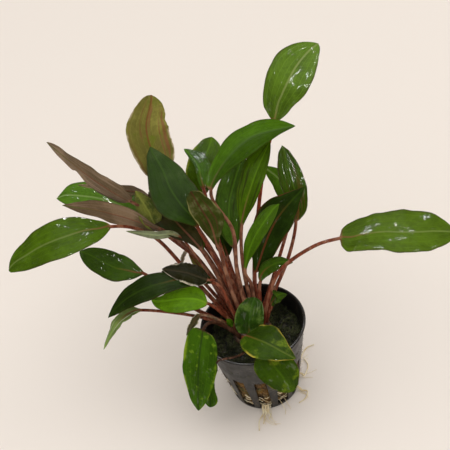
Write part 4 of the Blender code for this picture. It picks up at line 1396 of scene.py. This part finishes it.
def sill_rootlets(luck, skins):
    """Rootlets that come out over the sills and wander over the ground."""
    for slot, side, length in (
        (-1, -2.4, 9), (-1, -1.4, 13), (-1, -0.9, 8), (-1, 0.1, 14), (-1, 1.4, 8), (-1, 2.2, 10),
        (0, -1.5, 5), (0, 1.2, 4), (1, 0.4, 6), (1, 1.4, 7), (2, -0.6, 6), (2, 1.8, 8), (3, -1.2, 7),
        (3, 1.0, 9),
    ):
        points = slot_way_out(slot, side)
        points = [point + UP * (-0.25 * min(1.0, number / 3)) for number, point in enumerate(points)]
        heading = (points[-1] - points[0]).normalized()
        heading.z = 0.0
        bend = luck.uniform(-0.35, 0.35)
        for _ in range(int(length / ROOTLET_STEP)):
            bend += luck.uniform(-0.3, 0.3)
            heading.rotate(Matrix.Rotation(bend * 0.5, 3, "Z"))
            point = points[-1] + heading * ROOTLET_STEP
            points.append(Vector((point.x, point.y, luck.uniform(0.2, 0.6))))
        thick = luck.uniform(0.12, 0.24)
        steps = len(points) * 4
        rings = strand_rings(points, lambda share: thick * (1.0 - 0.6 * share), ROOTLET_SIDES, steps)
        skins.add([[lift_off_ground(point) for point in ring] for ring in rings])


def foot_rootlets(luck, skins):
    """Rootlets that run around inside the foot of the wall."""
    for number in range(FOOT_ROOTLETS):
        turn = math.radians(-165.0 + 36.0 * number)
        points = []
        for _ in range(8):
            radius = wall_radius(3.0) - WALL - 0.55 + luck.uniform(-0.25, 0.1)
            points.append(around(turn, radius, luck.uniform(2.6, 4.2)))
            turn += luck.uniform(0.05, 0.11)
        rings = strand_rings(points, lambda share: 0.36 * (1.0 - 0.5 * share), ROOTLET_SIDES, ROOTLET_RINGS)
        skins.add(rings)


def wool_rootlets(luck, skins):
    """Rootlets that cross the wool behind the slots."""
    for _ in range(WOOL_ROOTLETS):
        turn = math.radians(luck.uniform(-180.0, 180.0))
        height = luck.uniform(4.0, 22.0)
        points = []
        for _ in range(7):
            radius = wall_radius(height) - PLUG_CLEARANCE + 0.35 + SLOT_SWELL * slot_window(turn, height)
            points.append(around(turn, radius, height))
            turn += luck.uniform(0.02, 0.10)
            height = min(23.0, max(3.4, height + luck.uniform(-2.2, 1.0)))
        thick = luck.uniform(0.18, 0.42)
        rings = strand_rings(points, lambda share: thick * (1.0 - 0.4 * share), ROOTLET_SIDES, ROOTLET_RINGS)
        skins.add(rings)


def make_rootlets(finish):
    """Hair-fine roots, gathered in one piece."""
    luck = random.Random(ROOTLET_DRAWS)
    skins = Skins()
    for grow in (sill_rootlets, foot_rootlets, wool_rootlets):
        grow(luck, skins)
    piece = skins.piece("rootlets", finish)


# Floor, light and camera


def make_floor():
    mesh = bpy.data.meshes.new("floor")
    corners = [(x * FLOOR_REACH, y * FLOOR_REACH, 0) for x, y in ((-1, -1), (1, -1), (1, 1), (-1, 1))]
    mesh.from_pydata(corners, [], [(0, 1, 2, 3)])
    make = Finish("pale_floor")
    mesh.materials.append(make.done(FLOOR_COLOUR, 0.55, specular=0.3))
    floor = in_scene("floor", mesh)


def add_lamp(name, shape, place, aim, power):
    lamp = bpy.data.lights.new(name, "AREA")
    lamp.shape = shape
    lamp.energy = power
    lamp.color = LIGHT_COLOUR
    obj = in_scene(name, lamp)
    obj.location = place
    obj.rotation_euler = (Vector(aim) - Vector(place)).to_track_quat("-Z", "Y").to_euler()
    return obj


def make_light():
    """A bright sky that gloss doesn't show, the cloths, and the tubes that only gloss shows."""
    world = bpy.data.worlds.new("soft_studio")
    world.use_nodes = True
    sky = world.node_tree.nodes["Background"]
    sky.inputs["Color"].default_value = (*LIGHT_COLOUR, 1.0)
    sky.inputs["Strength"].default_value = SKY_STRENGTH
    bpy.context.scene.world = world
    world.cycles_visibility.glossy = False
    for name, place, aim, size, power in CLOTHS:
        cloth = add_lamp(name, "DISK", place, aim, power)
        cloth.data.size = size
        cloth.visible_glossy = False
    for number, across in enumerate(TUBE_PLACES):
        place = (across, TUBE_MIDDLE, TUBE_HEIGHT)
        tube = add_lamp(f"tube_{number}", "RECTANGLE", place, (across, TUBE_MIDDLE, 0.0), TUBE_POWER)
        tube.data.size = TUBE_WIDTH
        tube.data.size_y = TUBE_LENGTH
        tube.visible_diffuse = False


def make_camera():
    """The camera, where the pot's rim and foot look as they do from above and in front."""
    camera = bpy.data.cameras.new("camera")
    camera.lens = CAMERA_LENS
    camera.sensor_width = CAMERA_SENSOR
    obj = in_scene("camera", camera)
    right, down, ahead = (Vector(row) for row in CAMERA_AXES)
    turn = Matrix((right, -down, -ahead)).transposed().to_4x4()
    obj.matrix_world = Matrix.Translation(Vector(CAMERA_PLACE) * MM) @ turn
    bpy.context.scene.camera = obj
    bpy.context.scene.view_settings.view_transform = "Standard"


make_camera()
make_floor()
make_light()
make_pot()
dress_plug(make_plug())
make_rootstock()
make_roots()
grow_leaves()
